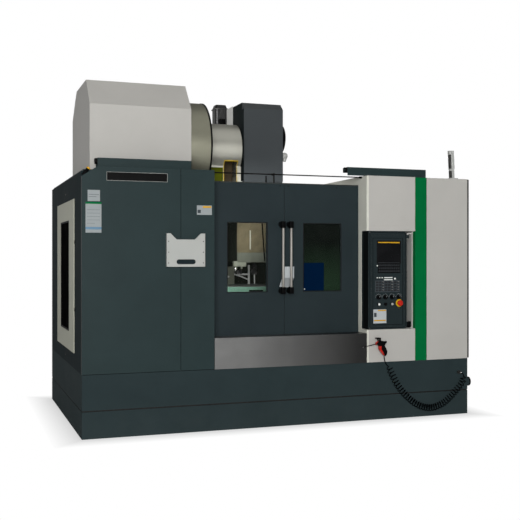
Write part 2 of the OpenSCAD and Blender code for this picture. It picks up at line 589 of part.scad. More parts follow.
// Rotary switch with a raised grip
module rotary(x, z, r) {
  rod_y(x, fy - 6, fy, z, r, 24);
  rod_y(x, fy - 22, fy - 6, z, r - 5, 24);
  blk(x - 3.5, x + 3.5, fy - 26, fy - 21, z - r + 5, z + r - 5);
}
switch_z = panel_z0 + 276;
button_z = panel_z0 + 216;
module control_switches() color([0.03, 0.035, 0.04]) {
  for (i = [0:3]) rotary(panel_x0 + 96 + 64.5 * i, switch_z, 20);
  for (i = [0:2]) rod_y(panel_x0 + 98 + 62.5 * i, fy - 12, fy, button_z, 13, 24);
}
module emergency_stop() color([0.75, 0.1, 0.06]) translate([panel_x0 + 294, fy, button_z + 8]) rotate([90, 0, 0]) {
  cylinder(r = 31, h = 5, $fn = 40);
  cylinder(r = 14, h = 26);
  translate([0, 0, 18]) cylinder(r1 = 22, r2 = 26, h = 8, $fn = 40);
  translate([0, 0, 26]) cylinder(r1 = 26, r2 = 19, h = 9, $fn = 40);
}

// Fittings on top
light_x = hw - 146;
light_y = fy + 22;
// A bar with round edges that stands upright on its own foot
module round_bar(w, d, z0, z1, r) {
  translate([0, 0, z0]) linear_extrude(z1 - z0) offset(r = r, $fn = 24) square([w - 2 * r, d - 2 * r], center = true);
}
module tower_light() color([0.62, 0.63, 0.64]) {
  blk(light_x - 26, light_x + 54, light_y - 18, light_y + 16, front_top - 3, front_top + 4);
  translate([light_x, light_y, front_top + 2]) rotate([0, -2.7, 0]) {
    round_bar(44, 30, 0, 68, 5);
    round_bar(40, 27, 68, 74, 4);
    round_bar(47, 34, 74, 214, 8);
    round_bar(49, 36, 214, 244, 8);
  }
}
// Folded guide channel with a round roller that shows at its left end
module channel(x0, x1, z0, z1) {
  side_profile(x0, x1, [[fy + 45, z0], [fy + 48, z0], [fy + 48, z1 - 3], [fy + 137, z1 - 3], [fy + 137, z0 + 30],
    [fy + 140, z0 + 30], [fy + 140, z1], [fy + 45, z1]]);
  rod_x(x0 - 16, x1 - 20, fy + 48 + 22, z1 - 3 - 22, 22);
}
left_chan_x0 = -hw + 127;
chan_h = 94;
module top_channels() color([0.22, 0.24, 0.25]) {
  channel(left_chan_x0, x_left_seam + 98, roof_z + wall_t, roof_z + wall_t + chan_h);
  channel(x_door1 - 158, x_end + 18, front_top, front_top + 71);
  blk(x_door1 + 75, x_end + 18, fy + 45, fy + 48, roof_z + wall_t, front_top + 1);
}
rod_z_pos = front_top - 9;
module top_rod() color([0.5, 0.5, 0.5]) {
  rod_x(x_door0, x_door1, fy + 95, rod_z_pos, 5, 16);
  blk(x_mid - 176, x_mid - 166, door_y + 9, door_y + 21, rail_top, front_top - 15);
  blk(x_mid - 105, x_mid - 95, door_y + 9, door_y + 21, rail_top, front_top + 12);
}
pocket_x0 = x_left_seam - 120;
pocket_w = 311;
pocket_z0 = base_h + 824;
module document_pocket() color([0.72, 0.72, 0.7]) difference() {
  front_profile(fy - 30, fy, [[pocket_x0, pocket_z0], [pocket_x0 + pocket_w, pocket_z0], [pocket_x0 + pocket_w, pocket_z0 + 263],
    [pocket_x0 + pocket_w - 30, pocket_z0 + 263], [pocket_x0 + pocket_w - 79, pocket_z0 + 215],
    [pocket_x0 + 78, pocket_z0 + 215], [pocket_x0 + 30, pocket_z0 + 263], [pocket_x0, pocket_z0 + 263]]);
  blk(pocket_x0 + 2, pocket_x0 + pocket_w - 2, fy - 28, fy - 2, pocket_z0 + 2, pocket_z0 + 300);
  round_plate(pocket_x0 + 78, pocket_x0 + 233, fy - 31, fy - 27, pocket_z0 + 20, pocket_z0 + 58, 18);
}
module nameplate_blank() color([0.02, 0.02, 0.02])
  round_plate(-hw + 188, -hw + 667, fy - 3, fy, front_top - 108, front_top - 40, 12);

// Air gun, hung by its hook on the bay panel
gun_y = fy - 40;
gun_x = x_door1 + 100;
module air_gun() color([0.05, 0.05, 0.05]) translate([gun_x, 0, base_h + 148]) {
  front_profile(gun_y - 15, gun_y + 15, [[-36, 11], [-6, 40], [57, 32], [64, 26], [44, 0], [0, -8]]);
  front_profile(gun_y - 13, gun_y + 13, [[0, -7], [44, 1], [70, -52], [64, -79], [50, -93], [38, -80], [22, -60]]);
  translate([-34, gun_y, 12]) rotate([0, -101, 0]) cylinder(r = 3, h = 120, $fn = 16);
  front_profile(gun_y - 3, fy, [[-3, 39], [14, 37], [14, 64], [-23, 62], [-23, 54], [-3, 54]]);
}
fit_x = hw - 93;
fit_z = base_h - 120;
hose_y = fy - 27;
module hose_fitting() color([0.7, 0.7, 0.72]) {
  rod_y(fit_x, fy - 14, fy, fit_z, 16, 6);
  rod_y(fit_x, fy - 38, fy - 13, fit_z, 10);
}

// The coiled hose sags between the gun and the fitting. Its route is a list of [x, z] points.
lead_route = [[855, 545], [860, 520], [864, 496], [871, 476], [882, 463.5], [894, 452.5], [902.8, 438.3]];
tail_route = [[1638.2, 298.3], [1644.2, 306.4], [1646, 320], [1639, 336], [1624, 348], [1610, 360.5]];
coil_route = [[903, 438], [921, 409], [937, 379], [961, 333], [991, 286], [1039, 226], [1100, 168], [1162, 122],
  [1231, 90], [1308, 77], [1378, 87], [1449, 117], [1512, 164], [1566, 214], [1609, 259], [1638, 298]];
coil_r = 24;
hose_r = 4;
module air_hose_lead() color([0.04, 0.04, 0.04]) {
  flat_tube(lead_route, hose_y, hose_r, 8);
  flat_tube(tail_route, hose_y, hose_r, 8);
}
module air_hose_coil() color([0.04, 0.04, 0.04]) flat_tube(coil_route, hose_y, coil_r, 10);

base_skirt_lower();
base_skirt_upper();
machine_bed();
column();
z_guides();
saddle();
work_table();
spindle_head();
spindle();
coolant_block();
head_cover();
head_side_disc();
head_side_elbow();
z_axis_motor();
z_drive_housing();
magazine_cover();
magazine_drum();
magazine_rim();
magazine_hub();
left_front_panel();
left_inner_panel();
left_side_panel();
left_side_hatch();
left_side_window();
left_roof_panel();
chamber_front_frame();
chamber_walls();
chip_slopes();
door_rails();
door_left();
door_left_glass();
door_left_handle();
door_right();
door_right_glass();
door_right_handle();
front_apron();
bay_panels();
bay_return();
bay_recess();
stripe_panel();
end_panel();
right_side_panel();
right_roof_panel();
rear_panel();
electrical_cabinet();
panel_pivot();
control_box();
control_screen();
control_keys();
control_switches();
emergency_stop();
tower_light();
top_channels();
top_rod();
document_pocket();
nameplate_blank();
air_gun();
hose_fitting();
air_hose_lead();
air_hose_coil();
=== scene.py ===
"""Vertical machining center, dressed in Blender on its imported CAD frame.

Every object is in metres in the CAD frame: +X to the operator's right, +Y to the back, +Z up. The CAD
solids keep their shapes and get their finishes here. Smaller pieces are modelled on top of them.
"""

import logging
import math
import random
from dataclasses import dataclass, field
from enum import Enum
from typing import Callable, Sequence

import bmesh
import bpy
from mathutils import Matrix, Vector


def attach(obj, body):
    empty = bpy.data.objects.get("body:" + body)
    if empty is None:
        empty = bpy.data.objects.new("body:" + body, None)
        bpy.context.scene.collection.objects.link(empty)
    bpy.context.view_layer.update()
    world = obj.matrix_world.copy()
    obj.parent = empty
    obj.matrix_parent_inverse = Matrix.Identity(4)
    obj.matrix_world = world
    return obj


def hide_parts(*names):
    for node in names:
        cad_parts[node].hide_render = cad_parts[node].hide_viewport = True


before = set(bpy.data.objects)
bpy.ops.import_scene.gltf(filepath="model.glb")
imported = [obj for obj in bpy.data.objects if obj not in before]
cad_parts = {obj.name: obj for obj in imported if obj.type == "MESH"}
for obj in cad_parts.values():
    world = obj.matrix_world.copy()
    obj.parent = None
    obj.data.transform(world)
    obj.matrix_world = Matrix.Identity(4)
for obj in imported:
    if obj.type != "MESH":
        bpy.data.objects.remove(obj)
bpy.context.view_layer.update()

log = logging.getLogger("machining_center")

Point = Sequence[float]
FRONT = -1.025
DOOR_Y = -0.855
FLOOR_Z = 0.0


class Axis(Enum):
    """An axis of the frame."""

    X = Vector((1, 0, 0))
    Y = Vector((0, 1, 0))
    Z = Vector((0, 0, 1))


class Body(Enum):
    """The CAD bodies that pieces ride on."""

    ENCLOSURE = "enclosure"
    DOOR_LEFT = "door_left"
    DOOR_RIGHT = "door_right"
    SADDLE = "saddle"
    TABLE = "table"
    HEAD = "head"
    SPINDLE = "spindle"
    PANEL = "control_panel"


def linear(red: float, green: float, blue: float) -> tuple[float, float, float, float]:
    """Turns a colour seen on screen, 0 to 255, into Blender's linear colour.

    Args:
        red: Red, 0 to 255.
        green: Green, 0 to 255.
        blue: Blue, 0 to 255.

    Returns:
        The linear colour with an alpha of 1.
    """
    out = []
    for value in (red, green, blue):
        part = value / 255
        out.append(part / 12.92 if part <= 0.04045 else ((part + 0.055) / 1.055) ** 2.4)
    return (out[0], out[1], out[2], 1.0)


class NodeDesk:
    """Places nodes and links in one node tree."""

    def __init__(self, tree: bpy.types.NodeTree) -> None:
        """Keeps the tree that the nodes go into."""
        self.tree = tree
        self.column = 0

    def put(self, kind: str, **values: object) -> bpy.types.Node:
        """Adds a node and sets its properties and inputs.

        Args:
            kind: Blender's name of the node type.
            **values: Properties by name, or inputs by name with an underscore for each space.

        Returns:
            The new node.
        """
        node = self.tree.nodes.new(kind)
        self.column += 1
        node.location = (self.column * 180, -(self.column % 3) * 160)
        for name, value in values.items():
            if hasattr(node, name):
                setattr(node, name, value)
            else:
                node.inputs[name.replace("_", " ")].default_value = value
        return node

    def join(self, source: bpy.types.NodeSocket, target: bpy.types.NodeSocket) -> None:
        """Links one socket to another."""
        self.tree.links.new(source, target)

    def math(self, operation: str, first: object, second: object, clamp: bool = False) -> bpy.types.NodeSocket:
        """Adds a Math node on two sockets or numbers.

        Args:
            operation: Blender's name of the operation.
            first: The first socket or number.
            second: The second socket or number.
            clamp: Whether the result stays from 0 to 1.

        Returns:
            The output socket.
        """
        node = self.put("ShaderNodeMath", operation=operation, use_clamp=clamp)
        for socket, value in zip(node.inputs, (first, second)):
            if isinstance(value, bpy.types.NodeSocket):
                self.join(value, socket)
            else:
                socket.default_value = value
        return node.outputs[0]

    def mix(self, factor: object, first: object, second: object, blend: str = "MIX") -> bpy.types.NodeSocket:
        """Adds a colour Mix node.

        Args:
            factor: The factor as a socket or number.
            first: The first colour as a socket or four numbers.
            second: The second colour as a socket or four numbers.
            blend: Blender's name of the blend type.

        Returns:
            The colour output socket.
        """
        node = self.put("ShaderNodeMix", data_type="RGBA", blend_type=blend)
        for index, value in ((0, factor), (6, first), (7, second)):
            if isinstance(value, bpy.types.NodeSocket):
                self.join(value, node.inputs[index])
            else:
                node.inputs[index].default_value = value
        return node.outputs[2]

    def span(self, value: bpy.types.NodeSocket, low: float, high: float, to_low: float, to_high: float) -> bpy.types.NodeSocket:
        """Adds a clamped Map Range node and returns its output socket."""
        node = self.put("ShaderNodeMapRange", clamp=True)
        self.join(value, node.inputs[0])
        for index, number in enumerate((low, high, to_low, to_high), start=1):
            node.inputs[index].default_value = number
        return node.outputs[0]

    def place(self, scale: Point = (1, 1, 1), at: Point = (0, 0, 0), turn: Point = (0, 0, 0)) -> bpy.types.NodeSocket:
        """Returns Object coordinates after a Mapping node that scales, moves and turns them."""
        coords = self.put("ShaderNodeTexCoord")
        mapping = self.put("ShaderNodeMapping")
        mapping.inputs["Location"].default_value = at
        mapping.inputs["Rotation"].default_value = turn
        mapping.inputs["Scale"].default_value = scale
        self.join(coords.outputs["Object"], mapping.inputs["Vector"])
        return mapping.outputs[0]


class EffectGroups:
    """The shader node groups that several finishes share, each built once."""

    def __init__(self) -> None:
        """Starts with no group built."""
        self.made: dict[str, bpy.types.NodeTree] = {}

    def _open(self, name: str, inputs: dict[str, tuple[str, float]], outputs: dict[str, str]) -> tuple[NodeDesk, bpy.types.Node, bpy.types.Node]:
        """Makes an empty group with its sockets.

        Args:
            name: The group's name.
            inputs: Socket type and default value by input name.
            outputs: Socket type by output name.

        Returns:
            The desk on the group's tree, its input node and its output node.
        """
        tree = bpy.data.node_groups.new(name, "ShaderNodeTree")
        for label, (kind, value) in inputs.items():
            socket = tree.interface.new_socket(label, in_out="INPUT", socket_type=kind)
            if kind == "NodeSocketFloat":
                socket.default_value = value
        for label, kind in outputs.items():
            tree.interface.new_socket(label, in_out="OUTPUT", socket_type=kind)
        desk = NodeDesk(tree)
        self.made[name] = tree
        return desk, desk.put("NodeGroupInput"), desk.put("NodeGroupOutput")

    def paint_skin(self) -> bpy.types.NodeTree:
        """Returns the fine texture of sprayed or powdered paint with faint handling marks."""
        if "paint_skin" in self.made:
            return self.made["paint_skin"]
        desk, given, out = self._open(
            "paint_skin",
            {"Grain": ("NodeSocketFloat", 900.0), "Marks": ("NodeSocketFloat", 2.2)},
            {"Height": "NodeSocketFloat", "Marks": "NodeSocketFloat"},
        )
        coords = desk.place()
        fine = desk.put("ShaderNodeTexNoise", Detail=2.0, Roughness=0.6)
        desk.join(coords, fine.inputs["Vector"])
        desk.join(given.outputs["Grain"], fine.inputs["Scale"])
        broad = desk.put("ShaderNodeTexNoise", Detail=5.0, Roughness=0.62, Distortion=0.4)
        desk.join(coords, broad.inputs["Vector"])
        desk.join(given.outputs["Marks"], broad.inputs["Scale"])
        desk.join(fine.outputs[0], out.inputs["Height"])
        desk.join(desk.span(broad.outputs[0], 0.32, 0.68, 0.0, 1.0), out.inputs["Marks"])
        return self.made["paint_skin"]

    def rounded_edge(self) -> bpy.types.NodeTree:
        """Returns edges that look rolled over, with a mask of where they are worn."""
        if "rounded_edge" in self.made:
            return self.made["rounded_edge"]
        desk, given, out = self._open(
            "rounded_edge",
            {"Radius": ("NodeSocketFloat", 0.002), "Wear": ("NodeSocketFloat", 0.2)},
            {"Normal": "NodeSocketVector", "Worn": "NodeSocketFloat"},
        )
        bevel = desk.put("ShaderNodeBevel", samples=4)
        desk.join(given.outputs["Radius"], bevel.inputs["Radius"])
        flat = desk.put("ShaderNodeNewGeometry")
        dot = desk.put("ShaderNodeVectorMath", operation="DOT_PRODUCT")
        desk.join(bevel.outputs[0], dot.inputs[0])
        desk.join(flat.outputs["Normal"], dot.inputs[1])
        turned = desk.span(dot.outputs["Value"], 0.995, 0.8, 0.0, 1.0)
        chips = desk.put("ShaderNodeTexNoise", Scale=60.0, Detail=4.0, Roughness=0.7)
        desk.join(desk.place(), chips.inputs["Vector"])
        patch = desk.span(chips.outputs[0], 0.5, 0.62, 0.0, 1.0)
        worn = desk.math("MULTIPLY", desk.math("MULTIPLY", turned, patch), given.outputs["Wear"], clamp=True)
        desk.join(bevel.outputs[0], out.inputs["Normal"])
        desk.join(worn, out.inputs["Worn"])
        return self.made["rounded_edge"]

    def floor_dust(self) -> bpy.types.NodeTree:
        """Returns dust that gathers on faces that look up and low down near the floor."""
        if "floor_dust" in self.made:
            return self.made["floor_dust"]
        desk, given, out = self._open(
            "floor_dust", {"Amount": ("NodeSocketFloat", 0.2)}, {"Dust": "NodeSocketFloat"}
        )
        shape = desk.put("ShaderNodeNewGeometry")
        split = desk.put("ShaderNodeSeparateXYZ")
        desk.join(shape.outputs["Normal"], split.inputs[0])
        upward = desk.span(split.outputs["Z"], 0.55, 0.98, 0.0, 1.0)
        place = desk.put("ShaderNodeSeparateXYZ")
        coords = desk.place()
        desk.join(coords, place.inputs[0])
        low = desk.span(place.outputs["Z"], 0.0, 0.32, 0.55, 0.0)
        cloud = desk.put("ShaderNodeTexNoise", Scale=7.0, Detail=6.0, Roughness=0.65)
        desk.join(coords, cloud.inputs["Vector"])
        both = desk.math("ADD", upward, low, clamp=True)
        spread = desk.math("MULTIPLY", both, desk.span(cloud.outputs[0], 0.35, 0.75, 0.25, 1.0))
        desk.join(desk.math("MULTIPLY", spread, given.outputs["Amount"]), out.inputs["Dust"])
        return self.made["floor_dust"]

    def brushed_lines(self) -> bpy.types.NodeTree:
        """Returns the fine parallel lines of brushed sheet."""
        if "brushed_lines" in self.made:
            return self.made["brushed_lines"]
        desk, given, out = self._open(
            "brushed_lines",
            {"Along": ("NodeSocketFloat", 6.0), "Across": ("NodeSocketFloat", 1400.0)},
            {"Line": "NodeSocketFloat"},
        )
        coords = desk.put("ShaderNodeTexCoord")
        stretch = desk.put("ShaderNodeCombineXYZ")
        desk.join(given.outputs["Along"], stretch.inputs[0])
        desk.join(given.outputs["Across"], stretch.inputs[1])
        desk.join(given.outputs["Across"], stretch.inputs[2])
        scaled = desk.put("ShaderNodeVectorMath", operation="MULTIPLY")
        desk.join(coords.outputs["Object"], scaled.inputs[0])
        desk.join(stretch.outputs[0], scaled.inputs[1])
        lines = desk.put("ShaderNodeTexNoise", Scale=1.0, Detail=3.0, Roughness=0.6)
        desk.join(scaled.outputs[0], lines.inputs["Vector"])
        desk.join(lines.outputs[0], out.inputs["Line"])
        return self.made["brushed_lines"]


EFFECTS = EffectGroups()


def use_group(desk: NodeDesk, tree: bpy.types.NodeTree, **values: float) -> bpy.types.Node:
    """Places an effect group in a material.

    Args:
        desk: The desk on the material's tree.
        tree: The group's tree.
        **values: The group's inputs by name.

    Returns:
        The group node.
    """
    node = desk.put("ShaderNodeGroup")
    node.node_tree = tree
    for name, value in values.items():
        node.inputs[name].default_value = value
    return node


@dataclass(frozen=True)
class PaintFinish:
    """Sprayed or powdered paint, or moulded plastic, in one colour with grain, marks, dust and worn edges."""

    colour: tuple[float, float, float]
    roughness: float = 0.42
    grain: float = 900.0
    bump: float = 0.06
    marks: float = 0.05
    wear: float = 0.25
    worn_colour: tuple[float, float, float] = (150, 150, 146)
    dust: float = 0.18
    dust_colour: tuple[float, float, float] = (150, 146, 136)
    edge: float = 0.0022
    metallic: float = 0.0
    gloss: float = 0.22

    def make(self, name: str) -> bpy.types.Material:
        """Builds the material under a name."""
        material = bpy.data.materials.new(name)
        material.use_nodes = True
        material.node_tree.nodes.clear()
        desk = NodeDesk(material.node_tree)
        skin = use_group(desk, EFFECTS.paint_skin(), Grain=self.grain, Marks=2.2)
        edge = use_group(desk, EFFECTS.rounded_edge(), Radius=self.edge, Wear=self.wear)
        dust = use_group(desk, EFFECTS.floor_dust(), Amount=self.dust)
        base = linear(*self.colour)
        darker = tuple(c * (1 - 1.6 * self.marks) for c in base[:3]) + (1.0,)
        lighter = tuple(min(1.0, c * (1 + 1.6 * self.marks)) for c in base[:3]) + (1.0,)
        toned = desk.mix(skin.outputs["Marks"], darker, lighter)
        chipped = desk.mix(edge.outputs["Worn"], toned, linear(*self.worn_colour))
        dusty = desk.mix(dust.outputs["Dust"], chipped, linear(*self.dust_colour))
        shader = desk.put("ShaderNodeBsdfPrincipled")
        shader.inputs["Metallic"].default_value = self.metallic
        shader.inputs["Specular IOR Level"].default_value = self.gloss
        desk.join(dusty, shader.inputs["Base Color"])
        rough = desk.math("ADD", self.roughness - 0.04, desk.math("MULTIPLY", skin.outputs["Marks"], 0.08))
        desk.join(desk.math("ADD", rough, desk.math("MULTIPLY", dust.outputs["Dust"], 0.4), clamp=True), shader.inputs["Roughness"])
        bump = desk.put("ShaderNodeBump", Strength=self.bump, Distance=0.001)
        desk.join(skin.outputs["Height"], bump.inputs["Height"])
        desk.join(edge.outputs["Normal"], bump.inputs["Normal"])
        desk.join(bump.outputs[0], shader.inputs["Normal"])
        output = desk.put("ShaderNodeOutputMaterial")
        desk.join(shader.outputs[0], output.inputs[0])
        return material


@dataclass(frozen=True)
class MetalFinish:
    """Bare metal that is brushed, ground or cast."""

    colour: tuple[float, float, float]
    roughness: float = 0.32
    along: float = 6.0
    across: float = 1400.0
    contrast: float = 0.12
    bump: float = 0.08
    stains: float = 0.1
    edge: float = 0.001
    metallic: float = 1.0
    fade: tuple[float, float, float] | None = None

    def make(self, name: str) -> bpy.types.Material:
        """Builds the material under a name, with painted shade that darkens it along X where it has a fade."""
        material = bpy.data.materials.new(name)
        material.use_nodes = True
        material.node_tree.nodes.clear()
        desk = NodeDesk(material.node_tree)
        lines = use_group(desk, EFFECTS.brushed_lines(), Along=self.along, Across=self.across)
        skin = use_group(desk, EFFECTS.paint_skin(), Grain=300.0, Marks=4.0)
        edge = use_group(desk, EFFECTS.rounded_edge(), Radius=self.edge, Wear=0.0)
        base = linear(*self.colour)
        dark = tuple(c * (1 - self.contrast) for c in base[:3]) + (1.0,)
        light = tuple(min(1.0, c * (1 + self.contrast)) for c in base[:3]) + (1.0,)
        lined = desk.mix(lines.outputs["Line"], dark, light)
        stained = desk.mix(desk.math("MULTIPLY", skin.outputs["Marks"], self.stains), lined, linear(70, 66, 58))
        # Painted shade: the fade darkens the colour along X towards near-black.
        if self.fade:
            split = desk.put("ShaderNodeSeparateXYZ")
            desk.join(desk.place(), split.inputs[0])
            shade = desk.span(split.outputs["X"], self.fade[0], self.fade[1], 0.0, self.fade[2])
            stained = desk.mix(shade, stained, linear(16, 17, 17))
        shader = desk.put("ShaderNodeBsdfPrincipled")
        shader.inputs["Metallic"].default_value = self.metallic
        desk.join(stained, shader.inputs["Base Color"])
        rough = desk.math("ADD", self.roughness - 0.06, desk.math("MULTIPLY", skin.outputs["Marks"], 0.12), clamp=True)
        desk.join(rough, shader.inputs["Roughness"])
        bump = desk.put("ShaderNodeBump", Strength=self.bump, Distance=0.0006)
        desk.join(lines.outputs["Line"], bump.inputs["Height"])
        desk.join(edge.outputs["Normal"], bump.inputs["Normal"])
        desk.join(bump.outputs[0], shader.inputs["Normal"])
        output = desk.put("ShaderNodeOutputMaterial")
        desk.join(shader.outputs[0], output.inputs[0])
        return material


@dataclass(frozen=True)
class GlassFinish:
    """Safety glass or a dark display, clear or tinted, with faint wipe marks."""

    colour: tuple[float, float, float]
    alpha: float = 1.0
    roughness: float = 0.06
    gloss: float = 0.12
    painted_reflection: tuple[float, float, float] | None = None

    def make(self, name: str) -> bpy.types.Material:
        """Builds the material under a name, with a painted reflection that makes it paler towards its foot where it
        has one.
        """
        material = bpy.data.materials.new(name)
        material.use_nodes = True
        material.node_tree.nodes.clear()
        desk = NodeDesk(material.node_tree)
        skin = use_group(desk, EFFECTS.paint_skin(), Grain=500.0, Marks=5.0)
        base = linear(*self.colour)
        lighter = tuple(min(1.0, c * 1.25 + 0.004) for c in base[:3]) + (1.0,)
        shader = desk.put("ShaderNodeBsdfPrincipled")
        shader.inputs["Metallic"].default_value = 0.0
        shader.inputs["Specular IOR Level"].default_value = self.gloss
        tint = desk.mix(skin.outputs["Marks"], base, lighter)
        # Painted reflection: the tint turns paler towards the glass's foot.
        if self.painted_reflection:
            split = desk.put("ShaderNodeSeparateXYZ")
            desk.join(desk.place(), split.inputs[0])
            tint = desk.mix(desk.span(split.outputs["Z"], 1.52, 1.22, 0.0, 1.0), tint, linear(*self.painted_reflection))
        desk.join(tint, shader.inputs["Base Color"])
        rough = desk.math("ADD", self.roughness, desk.math("MULTIPLY", skin.outputs["Marks"], 0.06))
        desk.join(rough, shader.inputs["Roughness"])
        if self.alpha < 1.0:
            haze = desk.math("MULTIPLY", skin.outputs["Marks"], 0.06)
            desk.join(desk.math("ADD", haze, self.alpha - 0.03, clamp=True), shader.inputs["Alpha"])
        output = desk.put("ShaderNodeOutputMaterial")
        desk.join(shader.outputs[0], output.inputs[0])
        return material


FINISHES: dict[str, PaintFinish | MetalFinish | GlassFinish] = {
    "dark_paint": PaintFinish((38, 52, 53), roughness=0.46, marks=0.05, gloss=0.12),
    "skirt_paint": PaintFinish((44, 55, 57), roughness=0.55, marks=0.05, gloss=0.02, dust=0.04),
    # The left side's paint is the front's dark paint darkened: painted shade.
    "side_paint": PaintFinish((30, 40, 43), roughness=0.6, marks=0.07, gloss=0.02, dust=0.03),
    "door_paint": PaintFinish((37, 47, 50), roughness=0.46, marks=0.05, gloss=0.12),
    "box_paint": PaintFinish((36, 45, 47), roughness=0.5, marks=0.04, gloss=0.06),
    "light_paint": PaintFinish((181, 179, 174), roughness=0.44, marks=0.015, gloss=0.15, worn_colour=(130, 130, 126)),
    "green_paint": PaintFinish((0, 102, 53), roughness=0.42, marks=0.04, gloss=0.03),
    "hatch_paint": PaintFinish((186, 187, 172), roughness=0.5, marks=0.02, gloss=0.1),
    "cover_paint": PaintFinish((66, 70, 72), roughness=0.46, marks=0.03, gloss=0.03),
    # The Z drive housing's pale paint is raised with painted light.
    "housing_paint_with_painted_light": PaintFinish((212, 210, 198), roughness=0.42, marks=0.03),
    "drum_paint": PaintFinish((161, 160, 142), roughness=0.38, marks=0.03, metallic=0.8),
    # The hub is the drum's paint made brighter: painted light.
    "hub_paint_with_painted_light": PaintFinish((208, 207, 195), roughness=0.36, marks=0.03, metallic=0.85),
    "head_paint": PaintFinish((105, 98, 76), roughness=0.42, marks=0.35),
    "column_paint": PaintFinish((36, 38, 33), roughness=0.55, bump=0.2, grain=300.0, marks=0.08, gloss=0.05),
    "casting": PaintFinish((84, 92, 86), roughness=0.6, bump=0.3, grain=260.0, marks=0.1),
    "table_iron": MetalFinish((150, 152, 148), roughness=0.36, along=3.0, across=900.0),
    "chamber_sheet": PaintFinish((46, 50, 49), roughness=0.5, marks=0.1, dust=0.2),
    "ground_steel": MetalFinish((190, 190, 190), roughness=0.24),
    # The apron's fade is painted shade, darker towards +X.
    "stainless": MetalFinish((148, 148, 147), roughness=0.36, along=4.0, across=1800.0, contrast=0.14, stains=0.04,
                             fade=(-0.35, 0.62, 0.82)),
    "handle_steel": MetalFinish((153, 150, 144), roughness=0.5, along=8.0, across=30.0, contrast=0.03, bump=0.0, stains=0.02, metallic=0.5),
    "pocket_sheet": PaintFinish((174, 176, 172), roughness=0.45, marks=0.02),
    "black_trim": PaintFinish((13, 13, 13), roughness=0.5, marks=0.1, wear=0.1, gloss=0.06),
    "black_plastic": PaintFinish((8, 8, 9), roughness=0.45, bump=0.12, grain=1400.0, wear=0.0, gloss=0.04),
    "motor_black": PaintFinish((20, 20, 21), roughness=0.3, marks=0.1, wear=0.0, gloss=0.7),
    # Dark lines for the panel's rims and the seams, and painted shade on the control box's left face.
    "dark_line_and_painted_shade": PaintFinish((14, 17, 18), roughness=0.5, marks=0.05, wear=0.0, gloss=0.03),
    "key_plastic": PaintFinish((34, 37, 40), roughness=0.5, bump=0.12, grain=1600.0, wear=0.0),
    "white_plastic": PaintFinish((226, 229, 225), roughness=0.35, marks=0.02, wear=0.0),
    "grey_plastic": PaintFinish((172, 173, 170), roughness=0.4, marks=0.03, wear=0.0),
    "red_plastic": PaintFinish((186, 34, 22), roughness=0.32, marks=0.03, wear=0.0),
    "hose_skin": PaintFinish((1, 1, 2), roughness=0.5, bump=0.02, marks=0.05, wear=0.0, edge=0.0005, dust=0.0, gloss=0.02),
    "yellow_plastic": PaintFinish((214, 170, 20), roughness=0.35, wear=0.0),
    "amber_paint": PaintFinish((202, 154, 30), roughness=0.45, marks=0.04, wear=0.1, gloss=0.1),
    "block_paint": PaintFinish((128, 133, 118), roughness=0.5, marks=0.06, wear=0.0),
    "olive_paint": PaintFinish((64, 70, 3), roughness=0.5, marks=0.12, gloss=0.05),
    "chute_brown": PaintFinish((46, 36, 16), roughness=0.6, marks=0.2),
    "pale_green": PaintFinish((100, 136, 118), roughness=0.5, marks=0.2),
    "blue_film": PaintFinish((1, 23, 50), roughness=0.6, marks=0.05, gloss=0.01, wear=0.0),
    "card_sheet": PaintFinish((150, 156, 157), roughness=0.6, bump=0.04, marks=0.03, wear=0.0, edge=0.0002, gloss=0.1),
    "card_blue": PaintFinish((104, 136, 160), roughness=0.6, bump=0.04, marks=0.02, wear=0.0, edge=0.0002, gloss=0.1),
    "chute_yellow": PaintFinish((178, 150, 26), roughness=0.45, marks=0.04, wear=0.1, gloss=0.1),
    # The bay's return is the light paint made brighter: painted light.
    "return_paint_with_painted_light": PaintFinish((212, 212, 201), roughness=0.44, marks=0.015, gloss=0.15, worn_colour=(130, 130, 126)),
    # The spindle head's near-white is painted light on its pale paint.
    "tower_paint_with_painted_light": PaintFinish((250, 250, 246), roughness=0.5, marks=0.03),
    "card_ink": PaintFinish((112, 118, 121), roughness=0.6, marks=0.02, wear=0.0, edge=0.0002, gloss=0.05),
    # Painted shade for the head cover's left face.
    "painted_shade_flank": PaintFinish((32, 38, 39), roughness=0.55, marks=0.04, wear=0.0, gloss=0.02),
    "paper": PaintFinish((178, 183, 185), roughness=0.6, bump=0.04, marks=0.02, wear=0.0, edge=0.0002, dust=0.05, gloss=0.1),
    "lamp_lens": PaintFinish((220, 226, 224), roughness=0.4, bump=0.05, marks=0.01, wear=0.0, dust=0.05),
    "key_bed": PaintFinish((66, 72, 76), roughness=0.5, marks=0.03, wear=0.0, edge=0.0003, gloss=0.05),
    # Rubber for the window and hatch seals, also used as painted shade in the skirt's groove and along the right edge.
    "rubber_and_painted_shade": PaintFinish((14, 14, 15), roughness=0.7, bump=0.2, grain=700.0, wear=0.0, edge=0.0005),
    "skirt_sheet": PaintFinish((98, 102, 91), roughness=0.4, marks=0.25),
    "dark_steel": MetalFinish((88, 88, 86), roughness=0.4, contrast=0.1),
    "screen": GlassFinish((9, 10, 12)),
    "display": GlassFinish((4, 5, 7), roughness=0.12),
    # The right window's paler green low down is a painted reflection.
    "window": GlassFinish((9, 15, 11), alpha=0.86, gloss=0.05, painted_reflection=(31, 48, 34)),
    "dark_window": GlassFinish((9, 8, 8), roughness=0.5, gloss=0.0),
    "clear_window": GlassFinish((14, 20, 16), alpha=0.16, gloss=0.06),
}


class PaintShop:
    """Makes each material when it is first asked for."""

    def __init__(self) -> None:
        """Starts with no material made."""
        self.made: dict[str, bpy.types.Material] = {}

    def get(self, name: str) -> bpy.types.Material:
        """Returns the material of a finish by name."""
        if name not in self.made:
            self.made[name] = FINISHES[name].make(name)
        return self.made[name]


SHOP = PaintShop()


